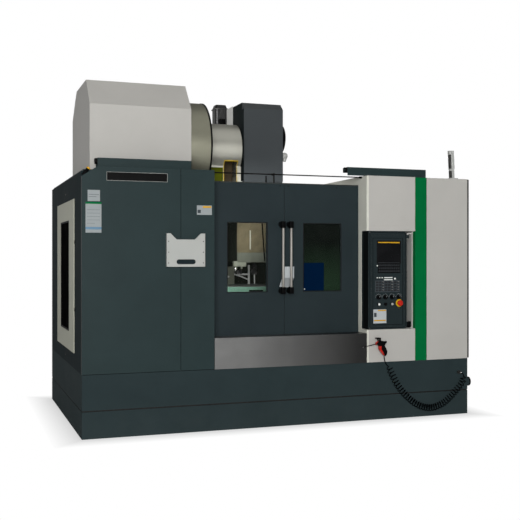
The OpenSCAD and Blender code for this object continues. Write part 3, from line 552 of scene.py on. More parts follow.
def coat(obj: bpy.types.Object, finish: str) -> bpy.types.Object:
    """Gives an object one finish all over.

    Args:
        obj: The object.
        finish: The finish's name.

    Returns:
        The same object.
    """
    material = SHOP.get(finish)
    if not obj.material_slots:
        obj.data.materials.append(material)
    for slot in obj.material_slots:
        slot.material = material
    return obj


NODE_FINISH: dict[str, tuple[str, ...]] = {
    "skirt_paint": ("base_skirt_lower", "base_skirt_upper"),
    "column_paint": ("column",),
    "motor_black": ("z_axis_motor",),
    "box_paint": ("control_box",),
    "dark_paint": ("left_front_panel", "left_inner_panel", "rear_panel",
                   "left_roof_panel", "top_channels"),
    "side_paint": ("left_side_panel",),
    "hatch_paint": ("left_side_hatch",),
    "dark_window": ("left_side_window",),
    "casting": ("machine_bed", "saddle"),
    "housing_paint_with_painted_light": ("z_drive_housing",),
    "tower_paint_with_painted_light": ("spindle_head",),
    "return_paint_with_painted_light": ("bay_return",),
    "ground_steel": ("z_guides", "spindle"),
    "dark_steel": ("hose_fitting",),
    "table_iron": ("work_table",),
    "block_paint": ("coolant_block",),
    "cover_paint": ("head_cover",),
    "black_plastic": ("head_side_disc", "air_gun", "control_switches"),
    "grey_plastic": ("head_side_elbow", "tower_light"),
    "light_paint": ("panel_pivot", "magazine_cover", "bay_panels", "bay_recess", "end_panel", "right_side_panel",
                    "right_roof_panel", "electrical_cabinet"),
    "drum_paint": ("magazine_drum",),
    "hub_paint_with_painted_light": ("magazine_hub",),
    "black_trim": ("magazine_rim", "nameplate_blank", "top_rod"),
    "chamber_sheet": ("chamber_front_frame", "chamber_walls", "chip_slopes", "door_rails"),
    "door_paint": ("door_left", "door_right"),
    "clear_window": ("door_left_glass",),
    "window": ("door_right_glass",),
    "handle_steel": ("door_left_handle", "door_right_handle"),
    "stainless": ("front_apron",),
    "green_paint": ("stripe_panel",),
    "screen": ("control_screen",),
    "key_plastic": ("control_keys",),
    "red_plastic": ("emergency_stop",),
    "pocket_sheet": ("document_pocket",),
}


def dress_nodes() -> None:
    """Gives every CAD node that stays its finish."""
    for finish, names in NODE_FINISH.items():
        for name in names:
            coat(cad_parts[name], finish)
            log.info("%s in %s", name, finish)


def clear_selection() -> None:
    """Leaves edit mode and deselects everything."""
    if bpy.context.object and bpy.context.object.mode != "OBJECT":
        bpy.ops.object.mode_set(mode="OBJECT")
    bpy.ops.object.select_all(action="DESELECT")


@dataclass
class Studio:
    """The camera, the lamps, the floor and the pale background."""

    camera_at: Point = (-2.645, -7.735, 1.392)
    camera_turn: float = 19.559
    lens: float = 60.41
    shift_y: float = -0.0058
    floor_size: float = 60.0

    def build(self) -> None:
        """Sets up everything around the machine."""
        self._camera()
        self._world()
        self._floor()
        self._lamps()

    def _camera(self) -> None:
        """Adds the camera at the photograph's place."""
        data = bpy.data.cameras.new("camera")
        data.lens = self.lens
        data.sensor_width = 36.0
        data.shift_y = self.shift_y
        data.clip_end = 200.0
        camera = bpy.data.objects.new("camera", data)
        camera.location = self.camera_at
        camera.rotation_euler = (math.pi / 2, 0.0, -math.radians(self.camera_turn))
        bpy.context.scene.collection.objects.link(camera)
        bpy.context.scene.camera = camera

    def _world(self) -> None:
        """Lights the scene from a pale sky that is white to the camera."""
        world = bpy.data.worlds.new("studio")
        world.use_nodes = True
        world.node_tree.nodes.clear()
        desk = NodeDesk(world.node_tree)
        path = desk.put("ShaderNodeLightPath")
        seen = desk.math("ADD", path.outputs["Is Camera Ray"], path.outputs["Is Transmission Ray"], clamp=True)
        ways = desk.put("ShaderNodeTexCoord")
        split = desk.put("ShaderNodeSeparateXYZ")
        desk.join(ways.outputs["Generated"], split.inputs[0])
        light = desk.put("ShaderNodeBackground")
        desk.join(desk.span(split.outputs["Z"], 0.0, 0.55, 0.55, 0.11), light.inputs["Strength"])
        white = desk.put("ShaderNodeBackground", Strength=1.0)
        light.inputs["Color"].default_value = (1, 1, 1, 1)
        white.inputs["Color"].default_value = (1, 1, 1, 1)
        mixer = desk.put("ShaderNodeMixShader")
        desk.join(seen, mixer.inputs[0])
        desk.join(light.outputs[0], mixer.inputs[1])
        desk.join(white.outputs[0], mixer.inputs[2])
        desk.join(mixer.outputs[0], desk.put("ShaderNodeOutputWorld").inputs[0])
        bpy.context.scene.world = world

    def _floor(self) -> None:
        """Adds a white floor that keeps the machine's shadow and fades into the background."""
        clear_selection()
        bpy.ops.mesh.primitive_grid_add(x_subdivisions=4, y_subdivisions=4, size=self.floor_size, location=(0, 0, -0.001))
        floor = bpy.context.object
        floor.name = "studio_floor"
        material = bpy.data.materials.new("studio_floor")
        material.use_nodes = True
        material.node_tree.nodes.clear()
        desk = NodeDesk(material.node_tree)
        split = desk.put("ShaderNodeSeparateXYZ")
        desk.join(desk.place(), split.inputs[0])
        out_x = desk.math("SUBTRACT", desk.math("ABSOLUTE", split.outputs["X"], 0.0), 1.7)
        out_y = desk.math("SUBTRACT", desk.math("ABSOLUTE", split.outputs["Y"], 0.0), 1.025)
        far = desk.math("MAXIMUM", out_x, out_y)
        fade = desk.span(far, 0.0, 0.24, 0.0, 1.0)
        path = desk.put("ShaderNodeLightPath")
        seen = path.outputs["Is Camera Ray"]
        speck = desk.put("ShaderNodeTexNoise", Scale=3.0, Detail=3.0)
        desk.join(desk.place(), speck.inputs["Vector"])
        matt = desk.put("ShaderNodeBsdfDiffuse")
        desk.join(desk.mix(speck.outputs[0], (0.86, 0.86, 0.86, 1), (0.9, 0.9, 0.9, 1)), matt.inputs["Color"])
        glow = desk.put("ShaderNodeEmission", Strength=1.0)
        glow.inputs["Color"].default_value = (1, 1, 1, 1)
        mixer = desk.put("ShaderNodeMixShader")
        pale = desk.math("ADD", desk.math("MULTIPLY", fade, 0.44), 0.56)
        desk.join(desk.math("MULTIPLY", pale, seen), mixer.inputs[0])
        desk.join(matt.outputs[0], mixer.inputs[1])
        desk.join(glow.outputs[0], mixer.inputs[2])
        desk.join(mixer.outputs[0], desk.put("ShaderNodeOutputMaterial").inputs[0])
        floor.data.materials.append(material)

    def _lamps(self) -> None:
        """Adds soft lamps in front, to the left and above."""
        for name, place, aim, size, power in (
            ("front_lamp", (-4.9, -13.1, 2.9), (0, -1.0, 1.3), (5.0, 5.0), 1235.0),
            ("top_lamp", (0.5, -2.0, 6.5), (0, 0, 0.5), (5.0, 5.0), 25.0),
            ("back_lamp", (7.5, 12.5, 4.5), (0, 1.0, 1.3), (5.0, 5.0), 520.0),
            ("work_lamp", (-0.15, -0.74, 1.97), (-0.1, -0.1, 1.3), (0.6, 0.03), 3.2),
            ("low_lamp", (-0.56, -0.70, 1.30), (0.06, 0.40, 1.20), (0.12, 0.12), 3.0),
        ):
            data = bpy.data.lights.new(name, "AREA")
            data.energy = power
            data.shape = "RECTANGLE"
            data.size, data.size_y = size
            lamp = bpy.data.objects.new(name, data)
            lamp.location = place
            lamp.rotation_euler = (Vector(aim) - Vector(place)).to_track_quat("-Z", "Y").to_euler()
            bpy.context.scene.collection.objects.link(lamp)


@dataclass
class AirHose:
    """The coiled air hose between the fitting on the base and the air gun."""

    lead: Sequence[Point] = ((855, 545), (860, 520), (864, 500), (870, 484), (879, 471), (889, 462), (897.8, 455.3))
    coil: Sequence[Point] = ((898, 455), (909, 432), (921, 409), (937, 379), (961, 333), (991, 286), (1039, 226), (1100, 168),
                             (1162, 122), (1231, 90), (1308, 77), (1378, 87), (1449, 117), (1512, 164), (1566, 214),
                             (1609, 257), (1634, 292), (1645, 322), (1644, 338))
    tail: Sequence[Point] = ((1644, 338.3), (1642.5, 350), (1634, 360), (1622, 364), (1610, 364))
    hang_y: float = -1.052
    tube: float = 0.0036
    ring: float = 0.0275
    ring_deep: float = 0.0175
    pitch_gun: float = 0.034
    pitch_low: float = 0.0228
    pitch_base: float = 0.030
    low_share: float = 0.56
    per_turn: int = 16
    sides: int = 10

    def _smooth(self, points: Sequence[Point], step: float) -> list[Vector]:
        """Runs a smooth line through route points in the hose's plane.

        Args:
            points: X and Z in millimetres.
            step: About how far apart the new points are, in metres.

        Returns:
            Points in metres, evenly spaced.
        """
        knots = [Vector((x / 1000, self.hang_y, z / 1000)) for x, z in points]
        dense: list[Vector] = []
        for index in range(len(knots) - 1):
            before = knots[max(0, index - 1)]
            start, end = knots[index], knots[index + 1]
            after = knots[min(len(knots) - 1, index + 2)]
            for part in range(24):
                t = part / 24
                dense.append(0.5 * (2 * start + (end - before) * t + (2 * before - 5 * start + 4 * end - after) * t * t
                                    + (3 * start - before - 3 * end + after) * t ** 3))
        dense.append(knots[-1])
        length = [0.0]
        for one, two in zip(dense, dense[1:]):
            length.append(length[-1] + (two - one).length)
        count = max(2, round(length[-1] / step))
        even, at = [], 0
        for index in range(count + 1):
            want = length[-1] * index / count
            while at < len(length) - 2 and length[at + 1] < want:
                at += 1
            share = (want - length[at]) / max(1e-9, length[at + 1] - length[at])
            even.append(dense[at].lerp(dense[at + 1], min(1.0, max(0.0, share))))
        return even

    def _pitch(self, share: float) -> float:
        """Returns how far one turn is from the next at a share of the way from the gun."""
        if share < self.low_share:
            slack, end = share / self.low_share, self.pitch_gun
        else:
            slack, end = (1 - share) / (1 - self.low_share), self.pitch_base
        return end + (self.pitch_low - end) * slack ** 0.8

    def line(self) -> list[Vector]:
        """Returns the hose's whole centre line, from the fitting to the gun."""
        spine = self._smooth(self.coil, 0.0012)
        count = len(spine) - 1
        step = sum((b - a).length for a, b in zip(spine, spine[1:])) / count
        pitch = [self._pitch(i / count) for i in range(count + 1)]
        turns = round(sum(step / p for p in pitch))
        total = sum(1 / p for p in pitch)
        winding: list[Vector] = []
        angle, due = 0.0, 0.0
        for index, middle in enumerate(spine):
            before, after = spine[max(0, index - 1)], spine[min(count, index + 1)]
            way = (after - before).normalized()
            side = Vector((-way.z, 0.0, way.x))
            angle += math.tau * turns / pitch[index] / total
            if angle >= due:
                due += math.tau / self.per_turn
                share = angle / (math.tau * turns)
                swell = math.sin(0.5 * math.pi * max(0.0, min(1.0, share * turns / 0.9, (1 - share) * turns / 0.9)))
                winding.append(middle + side * self.ring * swell * math.cos(angle)
                               + Vector((0, 1, 0)) * self.ring_deep * swell * math.sin(angle))
        lead = self._smooth(self.lead, 0.008)
        tail = self._smooth(self.tail, 0.008)
        whole = list(reversed(tail)) + list(reversed(winding))[1:-1] + list(reversed(lead))
        return whole

    def build(self) -> None:
        points = self.line()
        data = bpy.data.curves.new("air_hose", "CURVE")
        data.dimensions = "3D"
        data.bevel_depth = self.tube
        data.bevel_resolution = 2
        data.use_fill_caps = True
        spline = data.splines.new("POLY")
        spline.points.add(len(points) - 1)
        for knot, point in zip(spline.points, points):
            knot.co = (point.x, point.y, point.z, 1.0)
        spline.use_smooth = True
        hose = bpy.data.objects.new("air_hose", data)
        bpy.context.scene.collection.objects.link(hose)
        coat(hose, "hose_skin")
        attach(hose, Body.ENCLOSURE.value)
        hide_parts("air_hose_lead", "air_hose_coil")


class Facing(Enum):
    """The way that a flat piece looks."""

    FRONT = (Vector((0, -1, 0)), (math.pi / 2, 0.0, 0.0))
    BACK = (Vector((0, 1, 0)), (-math.pi / 2, 0.0, 0.0))
    LEFT = (Vector((-1, 0, 0)), (0.0, -math.pi / 2, 0.0))
    RIGHT = (Vector((1, 0, 0)), (0.0, math.pi / 2, 0.0))

    @property
    def normal(self) -> Vector:
        """The direction it looks in."""
        return self.value[0]

    @property
    def turn(self) -> tuple[float, float, float]:
        """The turn that points a plane's normal that way."""
        return self.value[1]


def named(name: str) -> bpy.types.Object:
    """Names the piece that was just added and puts its place into its mesh."""
    obj = bpy.context.object
    obj.name = name
    obj.data.name = name
    bpy.ops.object.transform_apply(location=True, rotation=True, scale=True)
    return obj


def pick(obj: bpy.types.Object) -> None:
    """Selects one object alone and makes it active."""
    clear_selection()
    obj.select_set(True)
    bpy.context.view_layer.objects.active = obj


def choose_faces(obj: bpy.types.Object, test: Callable[[Vector, Vector], bool]) -> int:
    """Enters edit mode and selects faces.

    Args:
        obj: The mesh object.
        test: Says yes or no to a face's middle and normal.

    Returns:
        How many faces were selected.
    """
    pick(obj)
    bpy.ops.object.mode_set(mode="EDIT")
    bpy.ops.mesh.select_mode(type="FACE")
    bpy.ops.mesh.select_all(action="DESELECT")
    mesh = bmesh.from_edit_mesh(obj.data)
    found = [face for face in mesh.faces if test(face.calc_center_median(), face.normal)]
    for face in found:
        face.select_set(True)
    bmesh.update_edit_mesh(obj.data)
    return len(found)


def choose_sharp(obj: bpy.types.Object, angle: float = 35.0) -> int:
    """Enters edit mode, selects the edges that turn by more than an angle, and returns how many."""
    pick(obj)
    bpy.ops.object.mode_set(mode="EDIT")
    bpy.ops.mesh.select_mode(type="EDGE")
    bpy.ops.mesh.select_all(action="DESELECT")
    mesh = bmesh.from_edit_mesh(obj.data)
    found = [edge for edge in mesh.edges if len(edge.link_faces) == 2 and edge.calc_face_angle() > math.radians(angle)]
    for edge in found:
        edge.select_set(True)
    bmesh.update_edit_mesh(obj.data)
    return len(found)


def choose_upright(obj: bpy.types.Object) -> int:
    """Enters edit mode, selects the long upright edges, and returns how many."""
    pick(obj)
    bpy.ops.object.mode_set(mode="EDIT")
    bpy.ops.mesh.select_mode(type="EDGE")
    bpy.ops.mesh.select_all(action="DESELECT")
    mesh = bmesh.from_edit_mesh(obj.data)
    ways = [(edge, edge.verts[0].co - edge.verts[1].co) for edge in mesh.edges]
    found = [edge for edge, way in ways if abs(way.z) > 0.6 * max(obj.dimensions.z, 1e-6)]
    for edge in found:
        edge.select_set(True)
    bmesh.update_edit_mesh(obj.data)
    return len(found)


def soften(obj: bpy.types.Object, width: float, segments: int = 2, angle: float = 35.0) -> bpy.types.Object:
    """Rounds the sharp edges of a piece and smooths its shading.

    Args:
        obj: The piece.
        width: How wide the rounding is, in metres.
        segments: How many steps the rounding has.
        angle: Edges that turn by more than this, in degrees, are rounded.

    Returns:
        The same piece.
    """
    if choose_sharp(obj, angle):
        bpy.ops.mesh.bevel(offset=width, segments=segments, affect="EDGES", clamp_overlap=True)
    pick(obj)
    bpy.ops.object.shade_smooth_by_angle(angle=math.radians(32))
    return obj


def block(name: str, low: Point, high: Point, edge: float = 0.0015) -> bpy.types.Object:
    """Adds a block between two corners and rounds its edges."""
    clear_selection()
    middle = [(a + b) / 2 for a, b in zip(low, high)]
    size = [b - a for a, b in zip(low, high)]
    bpy.ops.mesh.primitive_cube_add(size=1.0, location=middle, scale=size)
    return soften(named(name), min(edge, 0.3 * min(size)))


def roller(name: str, start: Point, end: Point, radius: float, sides: int = 32, edge: float = 0.0015) -> bpy.types.Object:
    """Adds a round bar between two points and rounds its rims."""
    clear_selection()
    one, two = Vector(start), Vector(end)
    way = two - one
    bpy.ops.mesh.primitive_cylinder_add(
        vertices=sides, radius=radius, depth=way.length, location=(one + two) / 2,
        rotation=way.to_track_quat("Z", "Y").to_euler(),
    )
    return soften(named(name), min(edge, 0.3 * radius, 0.3 * way.length), angle=50)


def dish(name: str, start: Point, end: Point, radius: float, sides: int = 32, rim: float = 0.25) -> bpy.types.Object:
    """Adds a round bar whose far end is hollowed, such as a screw head, a cap or a lamp.

    Args:
        name: The piece's name.
        start: The middle of the end that is fixed.
        end: The middle of the hollowed end.
        radius: The bar's radius.
        sides: How many sides the bar has.
        rim: The rim's width as a share of the radius.

    Returns:
        The piece.
    """
    obj = roller(name, start, end, radius, sides)
    way = (Vector(end) - Vector(start)).normalized()
    depth = (Vector(end) - Vector(start)).length
    choose_faces(obj, lambda middle, normal: normal.dot(way) > 0.99 and (middle - Vector(end)).length < 0.2 * radius)
    bpy.ops.mesh.inset(thickness=radius * rim, depth=0.0)
    bpy.ops.mesh.inset(thickness=radius * 0.08, depth=-0.35 * min(depth, radius))
    bpy.ops.object.mode_set(mode="OBJECT")
    return obj


def again(obj: bpy.types.Object, shift: Point, name: str) -> bpy.types.Object:
    """Copies a piece with its own mesh and moves the copy."""
    pick(obj)
    bpy.ops.object.duplicate(linked=False)
    copy = bpy.context.object
    copy.name = name
    bpy.ops.transform.translate(value=shift)
    bpy.ops.object.transform_apply(location=True, rotation=True, scale=True)
    return copy


def gather(name: str, parts: Sequence[bpy.types.Object]) -> bpy.types.Object:
    """Joins pieces into one."""
    clear_selection()
    for part in parts:
        part.select_set(True)
    bpy.context.view_layer.objects.active = parts[0]
    if len(parts) > 1:
        bpy.ops.object.join()
    parts[0].name = name
    return parts[0]


def scatter(first: bpy.types.Object, at: Point, places: Sequence[Point], name: str) -> bpy.types.Object:
    """Copies a piece that stands at one place to all the others and joins them.

    Args:
        first: The piece.
        at: The place that it was made for.
        places: The places of the copies.
        name: The name of the joined piece.

    Returns:
        The joined piece.
    """
    made = [again(first, Vector(place) - Vector(at), f"{name}_copy") for place in places]
    return gather(name, [first, *made])


def screws(name: str, places: Sequence[Point], facing: Facing, radius: float = 0.006, height: float = 0.003) -> bpy.types.Object:
    """Makes button-head screws at several places on a flat face."""
    first = dish(f"{name}_one", places[0], Vector(places[0]) + facing.normal * height, radius, sides=14, rim=0.5)
    return scatter(first, places[0], places[1:], name)


def frame_ring(name: str, low: Point, high: Point, facing: Facing, border: float, depth: float, corner: float = 0.0) -> bpy.types.Object:
    """Makes a flat frame that stands out from a face.

    Args:
        name: The piece's name.
        low: The frame's lowest corner, on the face.
        high: The frame's highest corner, on the face.
        facing: The way that it looks.
        border: How wide the frame is.
        depth: How far it stands out.
        corner: The radius of its corners.

    Returns:
        The frame.
    """
    clear_selection()
    middle = [(a + b) / 2 for a, b in zip(low, high)]
    size = [b - a for a, b in zip(low, high)]
    bpy.ops.mesh.primitive_plane_add(size=1.0, location=middle, rotation=facing.turn)
    obj = named(name)
    choose_faces(obj, lambda place, normal: True)
    bpy.ops.transform.resize(value=[part or 1.0 for part in size], center_override=middle)
    bpy.ops.mesh.inset(thickness=border, depth=0.0)
    bpy.ops.mesh.delete(type="FACE")
    if corner:
        bpy.ops.mesh.select_mode(type="VERT")
        bpy.ops.mesh.select_all(action="SELECT")
        bpy.ops.mesh.bevel(offset=corner, segments=4, affect="VERTICES", clamp_overlap=True)
    pick(obj)
    bpy.ops.object.modifier_add(type="SOLIDIFY")
    obj.modifiers[0].thickness = depth
    obj.modifiers[0].offset = 1.0
    bpy.ops.object.modifier_apply(modifier=obj.modifiers[0].name)
    return soften(obj, min(border, depth) * 0.25, angle=60)


def turn_about(obj: bpy.types.Object, axis: Axis, degrees: float, centre: Point) -> bpy.types.Object:
    """Turns a piece about a line through a point and puts the turn into its mesh."""
    pick(obj)
    home = Matrix.Translation(Vector(centre))
    obj.matrix_world = home @ Matrix.Rotation(math.radians(degrees), 4, axis.value) @ home.inverted()
    bpy.ops.object.transform_apply(location=True, rotation=True, scale=True)
    return obj


def slat(name: str, start: Point, end: Point, width: float, thickness: float) -> bpy.types.Object:
    """Adds a thin strip between two points that differ in Y and Z, with its width along X."""
    one, two = Vector(start), Vector(end)
    way = two - one
    middle = (one + two) / 2
    obj = block(name, (middle.x - width / 2, middle.y - thickness / 2, middle.z - way.length / 2),
                (middle.x + width / 2, middle.y + thickness / 2, middle.z + way.length / 2), 0.0006)
    return turn_about(obj, Axis.X, -math.degrees(math.atan2(way.y, way.z)), middle)


def pipe(name: str, route: Sequence[Point], radius: float) -> bpy.types.Object:
    """Makes a rigid pipe with bent corners along a route and turns it into a mesh."""
    clear_selection()
    data = bpy.data.curves.new(name, "CURVE")
    data.dimensions = "3D"
    data.bevel_depth = radius
    data.bevel_resolution = 3
    data.use_fill_caps = True
    spline = data.splines.new("POLY")
    knots = [Vector(point) for point in route]
    line = [knots[0]]
    for before, knot, after in zip(knots, knots[1:], knots[2:]):
        reach = min(3 * radius, (knot - before).length / 2, (after - knot).length / 2)
        start, end = knot + (before - knot).normalized() * reach, knot + (after - knot).normalized() * reach
        for part in range(7):
            t = part / 6
            line.append(start * (1 - t) ** 2 + knot * 2 * t * (1 - t) + end * t ** 2)
    line.append(knots[-1])
    spline.points.add(len(line) - 1)
    for knot, point in zip(spline.points, line):
        knot.co = (*point, 1.0)
    obj = bpy.data.objects.new(name, data)
    bpy.context.scene.collection.objects.link(obj)
    pick(obj)
    bpy.ops.object.convert(target="MESH")
    obj = bpy.context.object
    bpy.ops.object.shade_smooth_by_angle(angle=math.radians(32))
    return obj


def mount(obj: bpy.types.Object, finish: str, body: Body = Body.ENCLOSURE) -> bpy.types.Object:
    """Finishes a piece and sets it on its body.

    Args:
        obj: The piece.
        finish: The finish's name.
        body: The CAD body that it rides on.

    Returns:
        The same piece.
    """
    pick(obj)
    coat(obj, finish)
    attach(obj, body.value)
    named_slot = {"ground_steel": "steel", "dark_steel": "steel", "hose_skin": "hose", "rubber_and_painted_shade": "black_trim"}.get(finish, finish)
    log.info("%s in %s", obj.name, finish)
    return obj


@dataclass
class DoorFittings:
    """Handles, seals and small things on the two sliding doors."""

    seam_x: float = 0.0165
    middle_x: float = 0.0285
    handle_off: float = 0.036
    bar_y: float = -0.927
    bar_z: tuple[float, float] = (1.112, 1.662)
    bar_r: float = 0.0105
    window_off: float = 0.339
    window_w: float = 0.345
    window_z: tuple[float, float] = (1.102, 1.676)

    def build(self) -> None:
        """Builds all door fittings."""
        for side, body, sign in (("left", Body.DOOR_LEFT, -1), ("right", Body.DOOR_RIGHT, 1)):
            self._handle(side, body, self.seam_x + sign * self.handle_off)
            self._seal(side, body, self.middle_x + sign * self.window_off)
        self._film()
        self._tag()
        mount(screws("door_screws_left", [(-0.02, DOOR_Y, 1.992)], Facing.FRONT, 0.005), "black_trim", Body.DOOR_LEFT)
        mount(screws("door_screws_right", [(0.052, DOOR_Y, 1.992), (0.5, DOOR_Y, 1.99)], Facing.FRONT, 0.005),
              "black_trim", Body.DOOR_RIGHT)

    def _handle(self, side: str, body: Body, x: float) -> None:
        """Makes one handle: a bar in two angled grips that are screwed to the door."""
        low, high = self.bar_z
        bar = roller(f"handle_bar_{side}", (x, self.bar_y, low - 0.012), (x, self.bar_y, high + 0.012), self.bar_r, 24)
        mount(bar, "handle_steel", body)
        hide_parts(f"door_{side}_handle")
        feet = []
        for z, way in ((low, -1), (high, 1)):
            foot = block(f"grip_{side}_{way}", (x - 0.0165, self.bar_y - 0.016, z - 0.028), (x + 0.0165, self.bar_y + 0.019, z + 0.028), 0.001)
            choose_faces(foot, lambda middle, normal: normal.y > 0.99)
            bpy.ops.mesh.extrude_region_move(TRANSFORM_OT_translate={"value": (0, 0.052, 0.006 * way)})
            bpy.ops.transform.resize(value=(1.0, 1.0, 0.45), center_override=(x, self.bar_y + 0.069, z + 0.006 * way))
            bpy.ops.mesh.extrude_region_move(TRANSFORM_OT_translate={"value": (0, 0.0035, 0)})
            feet.append(soften(foot, 0.004, 3, 25))
            feet.append(dish(f"grip_cap_{side}_{way}", (x, self.bar_y - 0.014, z), (x, self.bar_y - 0.0175, z), 0.006, 16))
        grips = gather(f"handle_grips_{side}", feet)
        mount(grips, "black_plastic", body)
        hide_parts(f"door_{side}_handle")

    def _seal(self, side: str, body: Body, x: float) -> None:
        """Lays a rubber seal round a window."""
        low = (x - self.window_w / 2 - 0.006, DOOR_Y, self.window_z[0] - 0.006)
        high = (x + self.window_w / 2 + 0.006, DOOR_Y, self.window_z[1] + 0.006)
        mount(frame_ring(f"window_seal_{side}", low, high, Facing.FRONT, 0.0055, 0.0015, 0.006), "rubber_and_painted_shade", body)

    def _film(self) -> None:
        """Puts the blue film on the lower left of the right window."""
        film = block("window_film", (0.197, -0.8435, 1.104), (0.386, -0.842, 1.342), 0.0003)
        choose_faces(film, lambda middle, normal: normal.y < -0.99)
        bpy.ops.mesh.inset(thickness=0.003, depth=0.0002)
        mount(film, "blue_film", Body.DOOR_RIGHT)
        mount(dish("film_rivet", (0.207, -0.843, 1.118), (0.207, -0.8455, 1.118), 0.005, 16), "white_plastic", Body.DOOR_RIGHT)

    def _tag(self) -> None:
        """Hangs a blank card from the left handle."""
        tag = block("handle_tag", (-0.002, -0.9012, 1.215), (0.088, -0.9, 1.311), 0.0003)
        choose_faces(tag, lambda middle, normal: normal.z < -0.99)
        bpy.ops.mesh.extrude_region_move(TRANSFORM_OT_translate={"value": (-0.008, 0.0, -0.078)})
        bpy.ops.transform.resize(value=(0.5, 1.0, 1.0), center_override=(0.010, -0.9006, 1.137))
        mount(tag, "paper", Body.DOOR_LEFT)
        flap = block("handle_tag_flap", (-0.0455, -0.9062, 1.142), (-0.018, -0.905, 1.15), 0.0003)
        choose_faces(flap, lambda middle, normal: normal.z > 0.99)
        bpy.ops.mesh.extrude_region_move(TRANSFORM_OT_translate={"value": (0.014, 0.0, 0.058)})
        bpy.ops.transform.resize(value=(0.25, 1.0, 1.0), center_override=(-0.022, -0.9056, 1.208))
        mount(flap, "paper", Body.DOOR_LEFT)
        strip = block("door_seam_brush", (self.seam_x - 0.0029, DOOR_Y + 0.0015, 0.703), (self.seam_x + 0.0015, DOOR_Y + 0.006, 2.004), 0.0005)
        mount(strip, "door_paint", Body.DOOR_LEFT)


